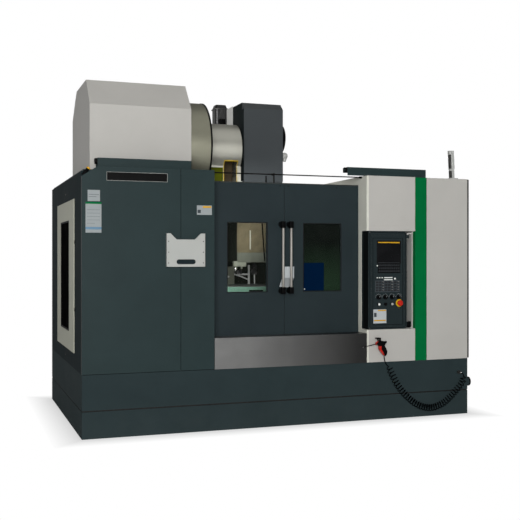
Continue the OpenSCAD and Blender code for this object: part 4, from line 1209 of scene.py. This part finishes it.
@dataclass
class PanelFittings:
    """Keys, lamps, marks and labels on the control panel's face."""

    face_y: float = FRONT
    switch_x: tuple[float, ...] = (0.817, 0.8815, 0.946, 1.0105)
    switch_z: float = 1.047
    button_x: tuple[float, ...] = (0.819, 0.8815, 0.944)
    button_z: float = 0.987
    stop: tuple[float, float] = (1.015, 0.995)

    def _plate(self, name: str, x0: float, x1: float, z0: float, z1: float, out: float, finish: str) -> bpy.types.Object:
        """Adds a thin plate with a raised middle on the panel's face."""
        plate = block(name, (x0, self.face_y - out, z0), (x1, self.face_y + 0.0005, z1), 0.0004)
        choose_faces(plate, lambda middle, normal: normal.y < -0.99)
        bpy.ops.mesh.inset(thickness=min(x1 - x0, z1 - z0) * 0.06, depth=0.0002)
        return mount(plate, finish, Body.PANEL)

    def build(self) -> None:
        """Builds everything on the panel's face."""
        self._screen()
        self._keys()
        self._switches()
        self._labels()
        corners = [(x, self.face_y, z) for x in (0.733, 1.078) for z in (0.783, 1.603)]
        mount(screws("panel_screws", corners, Facing.FRONT, 0.005, 0.002), "dark_steel", Body.PANEL)
        boots = [block("hinge_boot_arm", (1.0895, -1.012, 0.779), (1.118, -0.962, 0.831), 0.012),
                 block("hinge_boot_pin", (1.116, -0.998, 0.776), (1.152, -0.955, 0.832), 0.012)]
        mount(gather("hinge_boots", boots), "black_plastic", Body.PANEL)
        knobs = [dish(f"side_knob_{round(z * 1000)}", (1.0895, -1.004, z), (1.1, -1.004, z), 0.009, 20) for z in (1.176, 1.212, 1.262)]
        mount(gather("side_knobs", knobs), "black_plastic", Body.PANEL)

    def _screen(self) -> None:
        """Frames the screen and adds the strip above it."""
        glass = block("screen_glass", (0.8135, self.face_y - 0.0033, 1.3495), (1.0195, self.face_y - 0.0022, 1.5025), 0.0003)
        choose_faces(glass, lambda middle, normal: normal.y < -0.99)
        bpy.ops.mesh.inset(thickness=0.006, depth=0.0001)
        mount(glass, "display", Body.PANEL)
        for name, x0, x1, z0, z1 in (("panel_rim", 0.733, 1.079, 0.783, 1.603), ("panel_plate", 0.762, 1.052, 0.808, 1.556)):
            ring = frame_ring(name, (x0, self.face_y, z0), (x1, self.face_y, z1), Facing.FRONT, 0.0035, 0.0016, 0.004)
            mount(ring, "dark_line_and_painted_shade", Body.PANEL)
        # A dark sheet on the control box's left face: painted shade.
        side_shade = block("panel_side_shade", (0.7198, self.face_y + 0.004, 0.776), (0.7214, self.face_y + 0.095, 1.610), 0.0004)
        choose_faces(side_shade, lambda middle, normal: normal.x < -0.99)
        bpy.ops.mesh.inset(thickness=0.006, depth=0.0)
        mount(side_shade, "dark_line_and_painted_shade", Body.PANEL)
        self._plate("screen_strip", 0.81, 1.018, 1.5115, 1.5215, 0.0062, "amber_paint")
        self._plate("screen_key_row", 0.815, 1.017, 1.338, 1.3455, 0.0066, "key_plastic")

    def _keys(self) -> None:
        """Lays pale key beds under the key fields and adds the lamp bars above them."""
        self._plate("key_bed_low", 0.785, 1.022, 1.09, 1.19, 0.0012, "key_bed")
        self._plate("key_bed_high", 0.811, 1.026, 1.254, 1.336, 0.0012, "black_plastic")
        bars = []
        for i, (x0, x1, z) in enumerate(((0.870, 0.952, 1.2145), (0.870, 0.952, 1.1965), (0.799, 0.812, 1.2145), (0.822, 0.835, 1.2145), (0.845, 0.858, 1.2145))):
            bars.append(block(f"lamp_bar_{i}", (x0, self.face_y - 0.003, z - 0.0045), (x1, self.face_y, z + 0.0045), 0.001))
        bars.append(dish("lamp_oval", (0.974, self.face_y, 1.2055), (0.974, self.face_y - 0.004, 1.2055), 0.008, 20))
        bars.append(dish("lamp_dot", (0.805, self.face_y, 1.317), (0.805, self.face_y - 0.004, 1.317), 0.006, 16))
        mount(gather("lamp_bars", bars), "white_plastic", Body.PANEL)
        caps = []
        for row in range(4):
            for column in (2, 5, 7):
                x, z = 0.791 + 0.029 * column, 1.097 + 0.023 * row
                caps.append(block(f"key_light_{row}_{column}", (x + 0.004, self.face_y - 0.0068, z + 0.011), (x + 0.018, self.face_y - 0.0058, z + 0.0135), 0.0003))
        mount(gather("key_lights", caps), "grey_plastic", Body.PANEL)

    def _switches(self) -> None:
        """Adds the dial marks, the button caps and the collar of the emergency stop."""
        marks = []
        for number, x in enumerate(self.switch_x):
            for step in range(-3, 4):
                angle = math.radians(28 * step)
                place = Vector((x + 0.027 * math.sin(angle), self.face_y - 0.0006, self.switch_z + 0.027 * math.cos(angle)))
                mark = block(f"dial_mark_{number}_{step}", place - Vector((0.0011, 0.0006, 0.003)), place + Vector((0.0011, 0.0006, 0.003)), 0.0002)
                marks.append(turn_about(mark, Axis.Y, 28 * step, place))
        mount(gather("dial_marks", marks), "paper", Body.PANEL)
        pointers = [block(f"pointer_{i}", (x - 0.001, self.face_y - 0.0268, self.switch_z), (x + 0.001, self.face_y - 0.0256, self.switch_z + 0.013), 0.0002)
                    for i, x in enumerate(self.switch_x)]
        mount(gather("switch_pointers", pointers), "paper", Body.PANEL)
        for x, finish in zip(self.button_x, ("white_plastic", "black_plastic", "grey_plastic")):
            cap = dish(f"button_cap_{round(x * 1000)}", (x, self.face_y - 0.010, self.button_z), (x, self.face_y - 0.0145, self.button_z), 0.0105, 24, 0.12)
            mount(cap, finish, Body.PANEL)
        x, z = self.stop
        mount(dish("stop_collar", (x, self.face_y, z), (x, self.face_y - 0.0068, z), 0.0325, 40, 0.3), "yellow_plastic", Body.PANEL)
        key = block("mode_key", (1.009, self.face_y - 0.018, 0.944), (1.012, self.face_y - 0.003, 0.957), 0.0006)
        lock = dish("mode_lock", (1.0105, self.face_y, 0.9505), (1.0105, self.face_y - 0.007, 0.9505), 0.0095, 20)
        mount(gather("mode_lock", [lock, key]), "dark_steel", Body.PANEL)

    def _labels(self) -> None:
        """Adds the blank plate near the foot of the panel, with its two coloured bands."""
        self._plate("panel_card", 0.768, 0.892, 0.823, 0.942, 0.0010, "paper")
        self._plate("panel_card_band_top", 0.812, 0.888, 0.928, 0.938, 0.0014, "amber_paint")
        self._plate("panel_card_band_low", 0.774, 0.886, 0.842, 0.853, 0.0014, "amber_paint")
        self._plate("panel_card_mark", 0.774, 0.798, 0.878, 0.914, 0.0014, "key_bed")


@dataclass
class LeftCabinetFittings:
    """Plates, cards, screws and the side hatch's hardware on the left cabinet."""

    hatch_x: float = -1.706
    hatch_y: tuple[float, float] = (-0.609, 0.520)
    hatch_z: tuple[float, float] = (0.616, 1.861)
    opening_y: tuple[float, float] = (-0.306, 0.276)
    opening_z: tuple[float, float] = (0.770, 1.700)

    def _card(self, name: str, x0: float, x1: float, z0: float, z1: float, bands: Sequence[tuple[float, float, float, float, str]]) -> None:
        """Sticks a blank card on the front and adds its bands, each given by two widths, two heights and a finish."""
        card = block(name, (x0, FRONT - 0.0012, z0), (x1, FRONT + 0.0004, z1), 0.0004)
        choose_faces(card, lambda middle, normal: normal.y < -0.99)
        bpy.ops.mesh.inset(thickness=0.003, depth=-0.0002)
        mount(card, "card_sheet")
        for number, (bx0, bx1, bz0, bz1, finish) in enumerate(bands):
            band = block(f"{name}_band_{number}", (bx0, FRONT - 0.0016, bz0), (bx1, FRONT, bz1), 0.0003)
            mount(band, finish)

    def build(self) -> None:
        """Builds everything on the left cabinet."""
        ring = frame_ring("nameplate_rim", (-1.512, FRONT - 0.003, 1.980), (-1.033, FRONT - 0.003, 2.048), Facing.FRONT, 0.0028, 0.0008, 0.011)
        mount(ring, "pocket_sheet")
        self._card("tally_card", -1.656, -1.562, 1.819, 1.905, [(-1.648, -1.57, 1.868, 1.872, "card_ink"), (-1.648, -1.59, 1.852, 1.856, "card_ink")])
        self._card("record_card", -1.672, -1.551, 1.578, 1.813,
                   [(-1.672, -1.551, 1.798, 1.813, "green_paint"), (-1.672, -1.551, 1.603, 1.622, "card_blue"),
                    (-1.66, -1.563, 1.752, 1.7545, "card_ink"), (-1.66, -1.563, 1.726, 1.7285, "card_ink"),
                    (-1.66, -1.563, 1.70, 1.7025, "card_ink"), (-1.66, -1.563, 1.674, 1.6765, "card_ink"),
                    (-1.66, -1.60, 1.648, 1.6505, "card_ink")])
        self._card("handling_card", -0.794, -0.670, 1.728, 1.803, [(-0.745, -0.675, 1.784, 1.798, "amber_paint"), (-0.788, -0.762, 1.742, 1.768, "key_bed")])
        pocket = [(x, FRONT - 0.030, z) for x in (-1.031, -0.749) for z in (1.345, 1.43, 1.515)]
        mount(screws("pocket_screws", pocket, Facing.FRONT, 0.0045, 0.0025), "dark_steel")
        # A dark plate behind the pocket's slot, in the side paint with painted shade.
        shade = block("pocket_shade", (-0.973, FRONT - 0.0279, 1.329), (-0.806, FRONT - 0.0266, 1.379), 0.0004)
        choose_faces(shade, lambda middle, normal: normal.y < -0.99)
        bpy.ops.mesh.inset(thickness=0.004, depth=0.0)
        mount(shade, "side_paint")
        gland = [roller("corner_gland_body", (-1.688, -0.985, 2.018), (-1.645, -0.985, 2.072), 0.014, 20),
                 roller("corner_gland_nut", (-1.672, -0.985, 2.038), (-1.662, -0.985, 2.051), 0.019, 6)]
        mount(gather("corner_gland", gland), "black_plastic")
        mount(roller("corner_gland_cap", (-1.648, -0.985, 2.068), (-1.64, -0.985, 2.079), 0.0155, 20, 0.003), "amber_paint")
        self._hatch()

    def _hatch(self) -> None:
        """Adds the seal of the side window and the screws and latches beside the hatch."""
        x = self.hatch_x + 0.0035
        low = (x, self.opening_y[0] + 0.001, self.opening_z[0] + 0.001)
        high = (x, self.opening_y[1] - 0.001, self.opening_z[1] - 0.001)
        mount(frame_ring("hatch_seal", low, high, Facing.LEFT, 0.014, 0.002, 0.01), "rubber_and_painted_shade")
        wall = self.hatch_x + 0.006
        ys = (self.hatch_y[0] - 0.035, self.hatch_y[1] + 0.035)
        places = [(wall, y, z) for y in ys for z in (0.70, 1.24, 1.78)] + [(wall, -0.045, z) for z in (0.55, 1.93)]
        mount(screws("side_panel_screws", places, Facing.LEFT, 0.008), "dark_steel")
        latches = [dish(f"hatch_latch_{round(z * 100)}", (wall, self.hatch_y[0] - 0.035, z), (wall - 0.0055, self.hatch_y[0] - 0.035, z), 0.018, 28)
                   for z in (0.97, 1.51)]
        mount(gather("hatch_latches", latches), "black_plastic")


@dataclass
class RoofFittings:
    """The magazine's trims, the motor's details, the roller caps and the tower light."""

    drum_y: float = -0.29
    drum_z: float = 2.34
    hub_r: float = 0.232
    hub_x1: float = -0.240
    chute_y: float = -0.464
    opening_x: tuple[float, float] = (-0.395, -0.281)
    motor: tuple[float, float] = (-0.138, 0.510)
    lamp_foot: Point = (1.554, -1.003, 2.090)

    def build(self) -> None:
        """Builds everything above the roof."""
        self._chute()
        self._drum()
        self._motor()
        self._channels()
        self._tower()

    def _chute(self) -> None:
        """Edges the chute's opening with bright strips and darkens its inside."""
        turn_z = self.drum_z - 0.1535
        top_z = self.drum_z - 0.112
        top_y = self.drum_y - math.sqrt(self.hub_r ** 2 - 0.112 ** 2)
        strips = []
        for x in (self.opening_x[0] - 0.0035, self.opening_x[1] + 0.0035):
            strips.append(slat("chute_edge", (x, self.chute_y - 0.001, 2.003), (x, self.chute_y - 0.001, turn_z), 0.0055, 0.004))
            strips.append(slat("chute_edge", (x, self.chute_y - 0.001, turn_z), (x, top_y - 0.001, top_z), 0.0055, 0.004))
        strips.append(block("chute_lintel", (self.opening_x[0] - 0.007, top_y - 0.004, top_z - 0.003), (self.opening_x[1] + 0.007, top_y + 0.006, top_z + 0.006), 0.001))
        mount(gather("chute_edges", strips), "chute_yellow")
        inner = block("chute_shade", (self.opening_x[0] - 0.01, self.drum_y - 0.03, 1.998), (self.opening_x[1] + 0.01, self.drum_y - 0.02, 2.25), 0.002)
        choose_faces(inner, lambda middle, normal: normal.y < -0.99)
        bpy.ops.mesh.inset(thickness=0.012, depth=-0.003)
        mount(inner, "chute_brown")
        patch = block("chute_plate", (-0.552, self.chute_y - 0.0025, 2.003), (-0.404, self.chute_y + 0.001, 2.172), 0.001)
        choose_faces(patch, lambda middle, normal: normal.y < -0.99)
        bpy.ops.mesh.inset(thickness=0.01, depth=0.0006)
        mount(patch, "olive_paint")

    def _drum(self) -> None:
        """Adds the dark end ring and the screws of the two guards."""
        ring = dish("hub_end_ring", (self.hub_x1 - 0.006, self.drum_y, self.drum_z), (self.hub_x1 + 0.0015, self.drum_y, self.drum_z), self.hub_r + 0.002, 72, 0.06)
        mount(ring, "black_trim")
        bolts = [(self.hub_x1 + 0.0, self.drum_y + 0.2 * math.cos(a), self.drum_z + 0.2 * math.sin(a)) for a in (math.tau * i / 8 + 0.2 for i in range(8))]
        mount(screws("hub_screws", bolts, Facing.RIGHT, 0.006, 0.004), "dark_steel")
        rim = [(-0.563, self.drum_y + 0.37 * math.cos(a), self.drum_z + 0.37 * math.sin(a)) for a in (math.tau * i / 12 + 0.1 for i in range(12))]
        mount(screws("drum_screws", rim, Facing.RIGHT, 0.007, 0.004), "dark_steel")
        front = [(x, -0.7, z) for x in (-1.56, -1.17, -0.785) for z in (2.1, 2.36)]
        mount(screws("magazine_screws", front, Facing.FRONT, 0.005, 0.0025), "light_paint")

    def _motor(self) -> None:
        """Adds clamp bands, a plug box and bolts to the motor."""
        x, y = self.motor
        bands = [block(f"motor_band_{i}", (x - 0.067, y - 0.067, z), (x + 0.067, y + 0.067, z + 0.012), 0.003) for i, z in enumerate((2.594, 2.838))]
        mount(gather("motor_bands", bands), "dark_steel")
        box = block("motor_plug_box", (x - 0.03, y - 0.098, 2.66), (x + 0.03, y - 0.062, 2.74), 0.005)
        plug = roller("motor_plug", (x, y - 0.08, 2.665), (x, y - 0.08, 2.63), 0.014, 20)
        mount(gather("motor_plug_box", [box, plug]), "black_plastic")
        sides = [(x + dx, y + dy, 2.582) for dx in (-0.06, 0.06) for dy in (-0.06, 0.06)]
        first = roller("motor_bolt", (sides[0][0], sides[0][1], 2.58), (sides[0][0], sides[0][1], 2.59), 0.008, 6)
        mount(scatter(first, (sides[0][0], sides[0][1], 0), [(sx, sy, 0) for sx, sy, _ in sides[1:]], "motor_bolts"), "dark_steel")

    def _channels(self) -> None:
        """Caps the rollers in the two channels and adds collars to the thin rod."""
        caps = [dish(f"roller_cap_{i}", (x + 0.004, -0.955, 2.134), (x - 0.020, -0.955, 2.134), 0.0235, 28) for i, x in enumerate((-1.573, 0.547))]
        mount(gather("roller_caps", caps), "black_trim")
        collars = [roller(f"rod_collar_{i}", (x, -0.93, 2.079), (x + 0.02, -0.93, 2.079), 0.0095, 20) for i, x in enumerate((-0.645, -0.125, 0.682))]
        mount(gather("rod_collars", collars), "black_trim")

    def _tower(self) -> None:
        """Adds the lens, the dark strip and the joint of the tower light, leaning with it."""
        fx, fy, fz = self.lamp_foot
        lens = block("tower_lens", (fx - 0.004, fy - 0.0185, fz + 0.082), (fx + 0.0245, fy + 0.006, fz + 0.208), 0.006)
        strip = block("tower_strip", (fx - 0.0245, fy - 0.0185, fz + 0.084), (fx - 0.009, fy + 0.010, fz + 0.210), 0.003)
        low = block("tower_strip_low", (fx - 0.0228, fy - 0.0162, fz + 0.004), (fx - 0.005, fy + 0.010, fz + 0.066), 0.002)
        for piece, finish in ((lens, "pocket_sheet"), (strip, "dark_steel"), (low, "dark_steel")):
            mount(turn_about(piece, Axis.Y, -2.7, self.lamp_foot), finish)


@dataclass
class InsideFittings:
    """Pipes on the column, the work lamp, the jets round the spindle and the head's shell, covers and hoses."""

    def build(self) -> None:
        """Builds everything that shows through the windows."""
        pipes = [pipe("wash_pipe_tall", [(0.130, 0.43, 1.12), (0.130, 0.404, 1.12), (0.130, 0.404, 1.312)], 0.0105),
                 pipe("wash_pipe_thin", [(0.190, 0.43, 1.12), (0.190, 0.408, 1.12), (0.190, 0.408, 1.325)], 0.006),
                 pipe("wash_pipe_cross", [(-0.075, 0.43, 1.222), (-0.075, 0.404, 1.222), (0.130, 0.404, 1.222)], 0.0085),
                 pipe("wash_pipe_slant", [(-0.02, 0.392, 1.222), (0.06, 0.392, 1.196), (0.122, 0.392, 1.168)], 0.006)]
        mount(gather("wash_pipes", pipes), "white_plastic")
        valve = block("wash_valve", (-0.102, 0.388, 1.10), (-0.022, 0.43, 1.30), 0.012)
        choose_faces(valve, lambda middle, normal: normal.y < -0.99)
        bpy.ops.mesh.inset(thickness=0.01, depth=-0.003)
        mount(valve, "block_paint")
        lamp = block("work_lamp_body", (-0.46, -0.785, 1.988), (0.30, -0.758, 2.014), 0.003)
        mount(lamp, "pocket_sheet")
        mount(block("work_lamp_lens", (-0.445, -0.782, 1.9845), (0.285, -0.761, 1.9885), 0.001), "lamp_lens")
        ring = [(-0.005 + 0.093 * math.cos(a), -0.13 + 0.093 * math.sin(a), 1.3605) for a in (math.tau * i / 8 for i in range(8))]
        first = roller("ring_jet", ring[0], (ring[0][0], ring[0][1], 1.353), 0.006, 14)
        mount(scatter(first, ring[0], ring[1:], "ring_jets"), "ground_steel", Body.HEAD)
        shell = block("head_shell", (-0.2305, -0.337, 1.432), (0.2, 0.02, 2.035), 0.004)
        choose_upright(shell)
        bpy.ops.mesh.bevel(offset=0.075, segments=8, affect="EDGES", clamp_overlap=True)
        pick(shell)
        bpy.ops.object.shade_smooth_by_angle(angle=math.radians(32))
        mount(shell, "head_paint", Body.HEAD)
        skirt = block("head_skirt", (-0.2255, -0.333, 1.344), (0.195, 0.015, 1.436), 0.003)
        choose_upright(skirt)
        bpy.ops.mesh.bevel(offset=0.072, segments=8, affect="EDGES", clamp_overlap=True)
        pick(skirt)
        bpy.ops.object.shade_smooth_by_angle(angle=math.radians(32))
        mount(skirt, "skirt_sheet", Body.HEAD)
        sheets = [block("head_side_front", (-0.2335, -0.325, 1.343), (-0.2310, 0.27, 2.03), 0.0008),
                  block("head_side_rear", (-0.2335, 0.27, 1.41), (-0.2310, 0.42, 2.03), 0.0008)]
        mount(gather("head_side_sheets", sheets), "column_paint", Body.HEAD)
        # Dark sheets on the head cover's left face: painted shade.
        flank_shades = [block("cover_side_low", (-0.1912, -0.397, 2.072), (-0.1896, -0.084, 2.708), 0.0006),
                  block("cover_side_top", (-0.1912, -0.342, 2.708), (-0.1896, -0.084, 2.768), 0.0006)]
        mount(gather("cover_side_shades", flank_shades), "painted_shade_flank", Body.HEAD)
        mount(block("cover_lip", (-0.188, -0.395, 2.037), (0.178, -0.345, 2.072), 0.002), "cover_paint", Body.HEAD)
        # Pale ridges on the head's shell: their pale paint is a painted highlight.
        ridges = [roller(f"shell_highlight_ridge_{i}", (x, -0.336, low), (x, -0.336, high), 0.006, 20, 0.003)
                  for i, (x, low, high) in enumerate(((-0.110, 1.46, 1.63),))]
        mount(gather("shell_highlight_ridges", ridges), "hatch_paint", Body.HEAD)
        mount(pipe("head_hose", [(-0.004, -0.342, 2.0), (0.0, -0.345, 1.70), (0.024, -0.347, 1.37), (0.03, -0.32, 1.352)], 0.0055),
              "black_plastic", Body.HEAD)
        guard = block("table_guard", (-0.59, -0.5295, 1.062), (0.59, -0.5245, 1.131), 0.001)
        choose_faces(guard, lambda middle, normal: normal.y < -0.99)
        bpy.ops.mesh.inset(thickness=0.008, depth=-0.001)
        mount(guard, "pale_green", Body.TABLE)
        slot = block("table_guard_slot", (-0.186, -0.5305, 1.088), (-0.058, -0.5285, 1.104), 0.0008)
        mount(slot, "black_plastic", Body.TABLE)
        hoses = [pipe("coolant_hose_1", [(-0.345, 0.43, 1.30), (-0.345, 0.30, 1.31), (-0.34, 0.16, 1.20), (-0.345, 0.13, 1.142)], 0.011),
                 pipe("coolant_hose_2", [(-0.300, 0.43, 1.24), (-0.300, 0.34, 1.25), (-0.19, 0.30, 1.23), (-0.10, 0.33, 1.20)], 0.008)]
        mount(gather("coolant_hoses", hoses), "white_plastic")
        stops = [block(f"table_stop_{i}", (x, -0.532, 1.066), (x + 0.02, -0.52, 1.10), 0.002) for i, x in enumerate((-0.66, 0.62))]
        mount(gather("table_stops", stops), "dark_steel", Body.TABLE)


@dataclass
class RearFittings:
    """Hardware on the electrical cabinet, the rear wall and the right side."""

    cabinet_x: tuple[float, float] = (-0.255, 1.5)
    door_face: float = 1.44
    side_x: float = 1.706

    def build(self) -> None:
        """Builds everything behind and on the right."""
        x0, x1 = self.cabinet_x
        middle = 0.5 * (x0 + x1)
        face = self.door_face - 0.013
        body = block("cabinet_body", (x0, 1.0245, 0.30), (x1, face - 0.0115, 1.98), 0.004)
        mount(body, "light_paint")
        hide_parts("electrical_cabinet")
        for side, low, high in (("left", x0 + 0.006, middle - 0.002), ("right", middle + 0.002, x1 - 0.006)):
            leaf = block(f"cabinet_door_{side}", (low, face - 0.012, 0.312), (high, face, 1.968), 0.003)
            choose_faces(leaf, lambda place, normal: normal.y > 0.99)
            bpy.ops.mesh.inset(thickness=0.02, depth=0.0)
            bpy.ops.mesh.inset(thickness=0.004, depth=-0.002)
            mount(leaf, "light_paint")
            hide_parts("electrical_cabinet")
        grips = []
        for x in (middle - 0.045, middle + 0.045):
            grip = block(f"cabinet_grip_{round(x * 100)}", (x - 0.015, face - 0.002, 1.02), (x + 0.015, face + 0.0125, 1.16), 0.004)
            choose_faces(grip, lambda place, normal: normal.y > 0.99)
            bpy.ops.mesh.inset(thickness=0.005, depth=-0.006)
            grips.append(grip)
            grips.append(dish(f"cabinet_lock_{round(x * 100)}", (x, face - 0.001, 0.97), (x, face + 0.008, 0.97), 0.013, 24))
        mount(gather("cabinet_grips", grips), "black_plastic")
        hinges = [roller(f"cabinet_hinge_{i}", (x, face + 0.002, z - 0.04), (x, face + 0.002, z + 0.04), 0.008, 20)
                  for i, (x, z) in enumerate((x, z) for x in (x0 + 0.012, x1 - 0.012) for z in (0.5, 1.14, 1.78))]
        mount(gather("cabinet_hinges", hinges), "dark_steel")
        for side, fan_x in (("left", 0.02), ("right", 0.90)):
            guard = frame_ring(f"fan_frame_{side}", (fan_x, face - 0.002, 1.56), (fan_x + 0.24, face - 0.002, 1.80), Facing.BACK, 0.022, 0.012, 0.01)
            slats = [block(f"fan_slat_{side}_{i}", (fan_x + 0.02, face - 0.003, 1.585 + 0.03 * i), (fan_x + 0.22, face + 0.006, 1.597 + 0.03 * i), 0.002)
                     for i in range(7)]
            mount(gather(f"fan_grille_{side}", [guard, *slats]), "grey_plastic")
        switch = dish("main_switch_base", (x1 - 0.0005, 1.30, 1.45), (x1 + 0.010, 1.30, 1.45), 0.038, 36, 0.15)
        mount(switch, "yellow_plastic")
        lever = block("main_switch_lever", (x1 + 0.006, 1.293, 1.418), (x1 + 0.030, 1.307, 1.482), 0.004)
        mount(lever, "red_plastic")
        seams = [(x, 1.025, z) for x in (-1.64, -1.24, -1.16, -0.74, -0.66, -0.32) for z in (0.56, 1.2, 1.98)]
        mount(screws("rear_screws", seams, Facing.BACK, 0.007), "dark_steel")
        duct = block("cable_duct", (0.30, 1.03, 1.905), (0.72, 1.20, 1.965), 0.004)
        mount(duct, "light_paint")
        unit = [block("air_unit_head", (-1.10, 1.025, 1.02), (-0.92, 1.085, 1.075), 0.006),
                roller("air_bowl_1", (-1.06, 1.055, 1.02), (-1.06, 1.055, 0.91), 0.024, 28, 0.006),
                roller("air_bowl_2", (-0.96, 1.055, 1.02), (-0.96, 1.055, 0.91), 0.024, 28, 0.006),
                dish("air_dial", (-1.01, 1.083, 1.048), (-1.01, 1.098, 1.048), 0.022, 28, 0.1)]
        mount(gather("air_unit", unit), "grey_plastic")
        places = [(self.side_x, y, z) for y in (-0.58, -0.045, 0.49) for z in (0.646, 1.2385, 1.83) if not (y == -0.045 and z == 1.2385)]
        mount(screws("side_screws", places, Facing.RIGHT, 0.007), "dark_steel")
        vents = [block(f"side_slat_{i}", (self.side_x - 0.002, -0.20, 1.10 + 0.034 * i), (self.side_x + 0.006, 0.14, 1.114 + 0.034 * i), 0.002) for i in range(9)]
        mount(gather("side_vent", vents), "light_paint")
        eyes = []
        for i, (x, y) in enumerate((x, y) for x in (-0.275, 0.265) for y in (0.50, 0.74)):
            clear_selection()
            bpy.ops.mesh.primitive_torus_add(location=(x, y, 2.60), rotation=(math.pi / 2, 0, 0), major_radius=0.026, minor_radius=0.008, major_segments=28, minor_segments=10)
            eyes.append(named(f"lifting_eye_{i}"))
            eyes.append(roller(f"lifting_foot_{i}", (x, y, 2.559), (x, y, 2.576), 0.02, 24))
        mount(gather("lifting_eyes", eyes), "dark_steel")


@dataclass
class FrontFittings:
    """The air gun's coloured parts and small things on the base and the right edge."""

    gun_x: float = 0.805
    gun_y: float = -1.065
    gun_z: float = 0.639

    def build(self) -> None:
        """Builds the gun's parts, the painted shade strip on the right edge and the base's cap."""
        x, y, z = self.gun_x, self.gun_y, self.gun_z
        nut = [roller("gun_nut", (x - 0.020, y, z + 0.017), (x - 0.034, y, z + 0.0145), 0.0125, 8, 0.001),
               roller("gun_collar", (x - 0.006, y, z + 0.022), (x - 0.022, y, z + 0.018), 0.0145, 24, 0.002)]
        mount(gather("gun_nut", nut), "red_plastic")
        grip = block("gun_grip", (x - 0.004, y - 0.0145, z - 0.034), (x + 0.014, y + 0.0145, z + 0.002), 0.001)
        choose_faces(grip, lambda middle, normal: normal.z < -0.99)
        bpy.ops.mesh.extrude_region_move(TRANSFORM_OT_translate={"value": (0.021, 0, -0.030)})
        bpy.ops.mesh.extrude_region_move(TRANSFORM_OT_translate={"value": (0.016, 0, -0.022)})
        bpy.ops.transform.resize(value=(0.7, 0.9, 1.0))
        mount(soften(grip, 0.005, 3, 25), "red_plastic")
        lever = block("gun_lever", (x - 0.018, y - 0.006, z + 0.044), (x + 0.008, y + 0.006, z + 0.050), 0.002)
        cap = dish("gun_cap", (x + 0.055, y, z + 0.030), (x + 0.0665, y, z + 0.024), 0.009, 20)
        mount(gather("gun_lever", [lever, cap]), "dark_steel")
        seams = [block("cabinet_seam", (-0.9268, FRONT - 0.0006, 0.497), (-0.9232, FRONT + 0.002, 2.044), 0.0003),
                 block("skirt_seam", (-1.699, FRONT - 0.0006, 0.4895), (-0.649, FRONT + 0.002, 0.4935), 0.0003)]
        mount(gather("cabinet_seams", seams), "dark_line_and_painted_shade")
        tip = roller("gun_tip", (x - 0.150, y, z - 0.0105), (x - 0.158, y, z - 0.012), 0.0036, 16, 0.0008)
        mount(tip, "ground_steel")
        mount(dish("fitting_tip", (1.607, FRONT - 0.037, 0.371), (1.607, FRONT - 0.041, 0.371), 0.0062, 20), "ground_steel")
        # A dark strip along the end panel's right edge: painted shade.
        edge = block("right_edge_shade", (1.7005, FRONT + 0.0005, 0.496), (1.7155, FRONT + 0.022, 2.081), 0.002)
        mount(edge, "rubber_and_painted_shade")
        cap = dish("base_cap", (1.725, -0.981, 0.279), (1.7398, -0.981, 0.279), 0.0405, 36, 0.2)
        mount(cap, "black_plastic")
        # Dark strips in the skirt's groove: painted shade.
        gap = [block("skirt_gap_front", (-1.6975, FRONT + 0.002, 0.2075), (1.6975, FRONT + 0.0055, 0.2165), 0.0005),
               block("skirt_gap_left", (-1.6975, FRONT + 0.004, 0.2075), (-1.6945, 1.02, 0.2165), 0.0005),
               block("skirt_gap_right", (1.6945, FRONT + 0.004, 0.2075), (1.6975, 1.02, 0.2165), 0.0005)]
        mount(gather("skirt_groove_shade", gap), "rubber_and_painted_shade")
        apron = [(xx, FRONT - 0.006, zz) for xx in (-0.63, -0.2, 0.25, 0.69) for zz in (0.515,)]
        mount(screws("apron_screws", apron, Facing.FRONT, 0.0045, 0.002), "stainless")
        bay = [(0.755, FRONT, 1.98), (1.13, FRONT, 1.98), (0.755, FRONT, 1.66), (1.13, FRONT, 1.66)]
        mount(screws("bay_screws", bay, Facing.FRONT, 0.0035, 0.0015), "light_paint")


def main() -> None:
    """Builds and dresses the machine in order."""
    logging.basicConfig(level=logging.INFO, format="%(message)s")
    bpy.context.scene.view_settings.view_transform = "Standard"
    Studio().build()
    AirHose().build()
    dress_nodes()
    DoorFittings().build()
    PanelFittings().build()
    LeftCabinetFittings().build()
    RoofFittings().build()
    InsideFittings().build()
    RearFittings().build()
    FrontFittings().build()


if __name__ == "__main__":
    main()
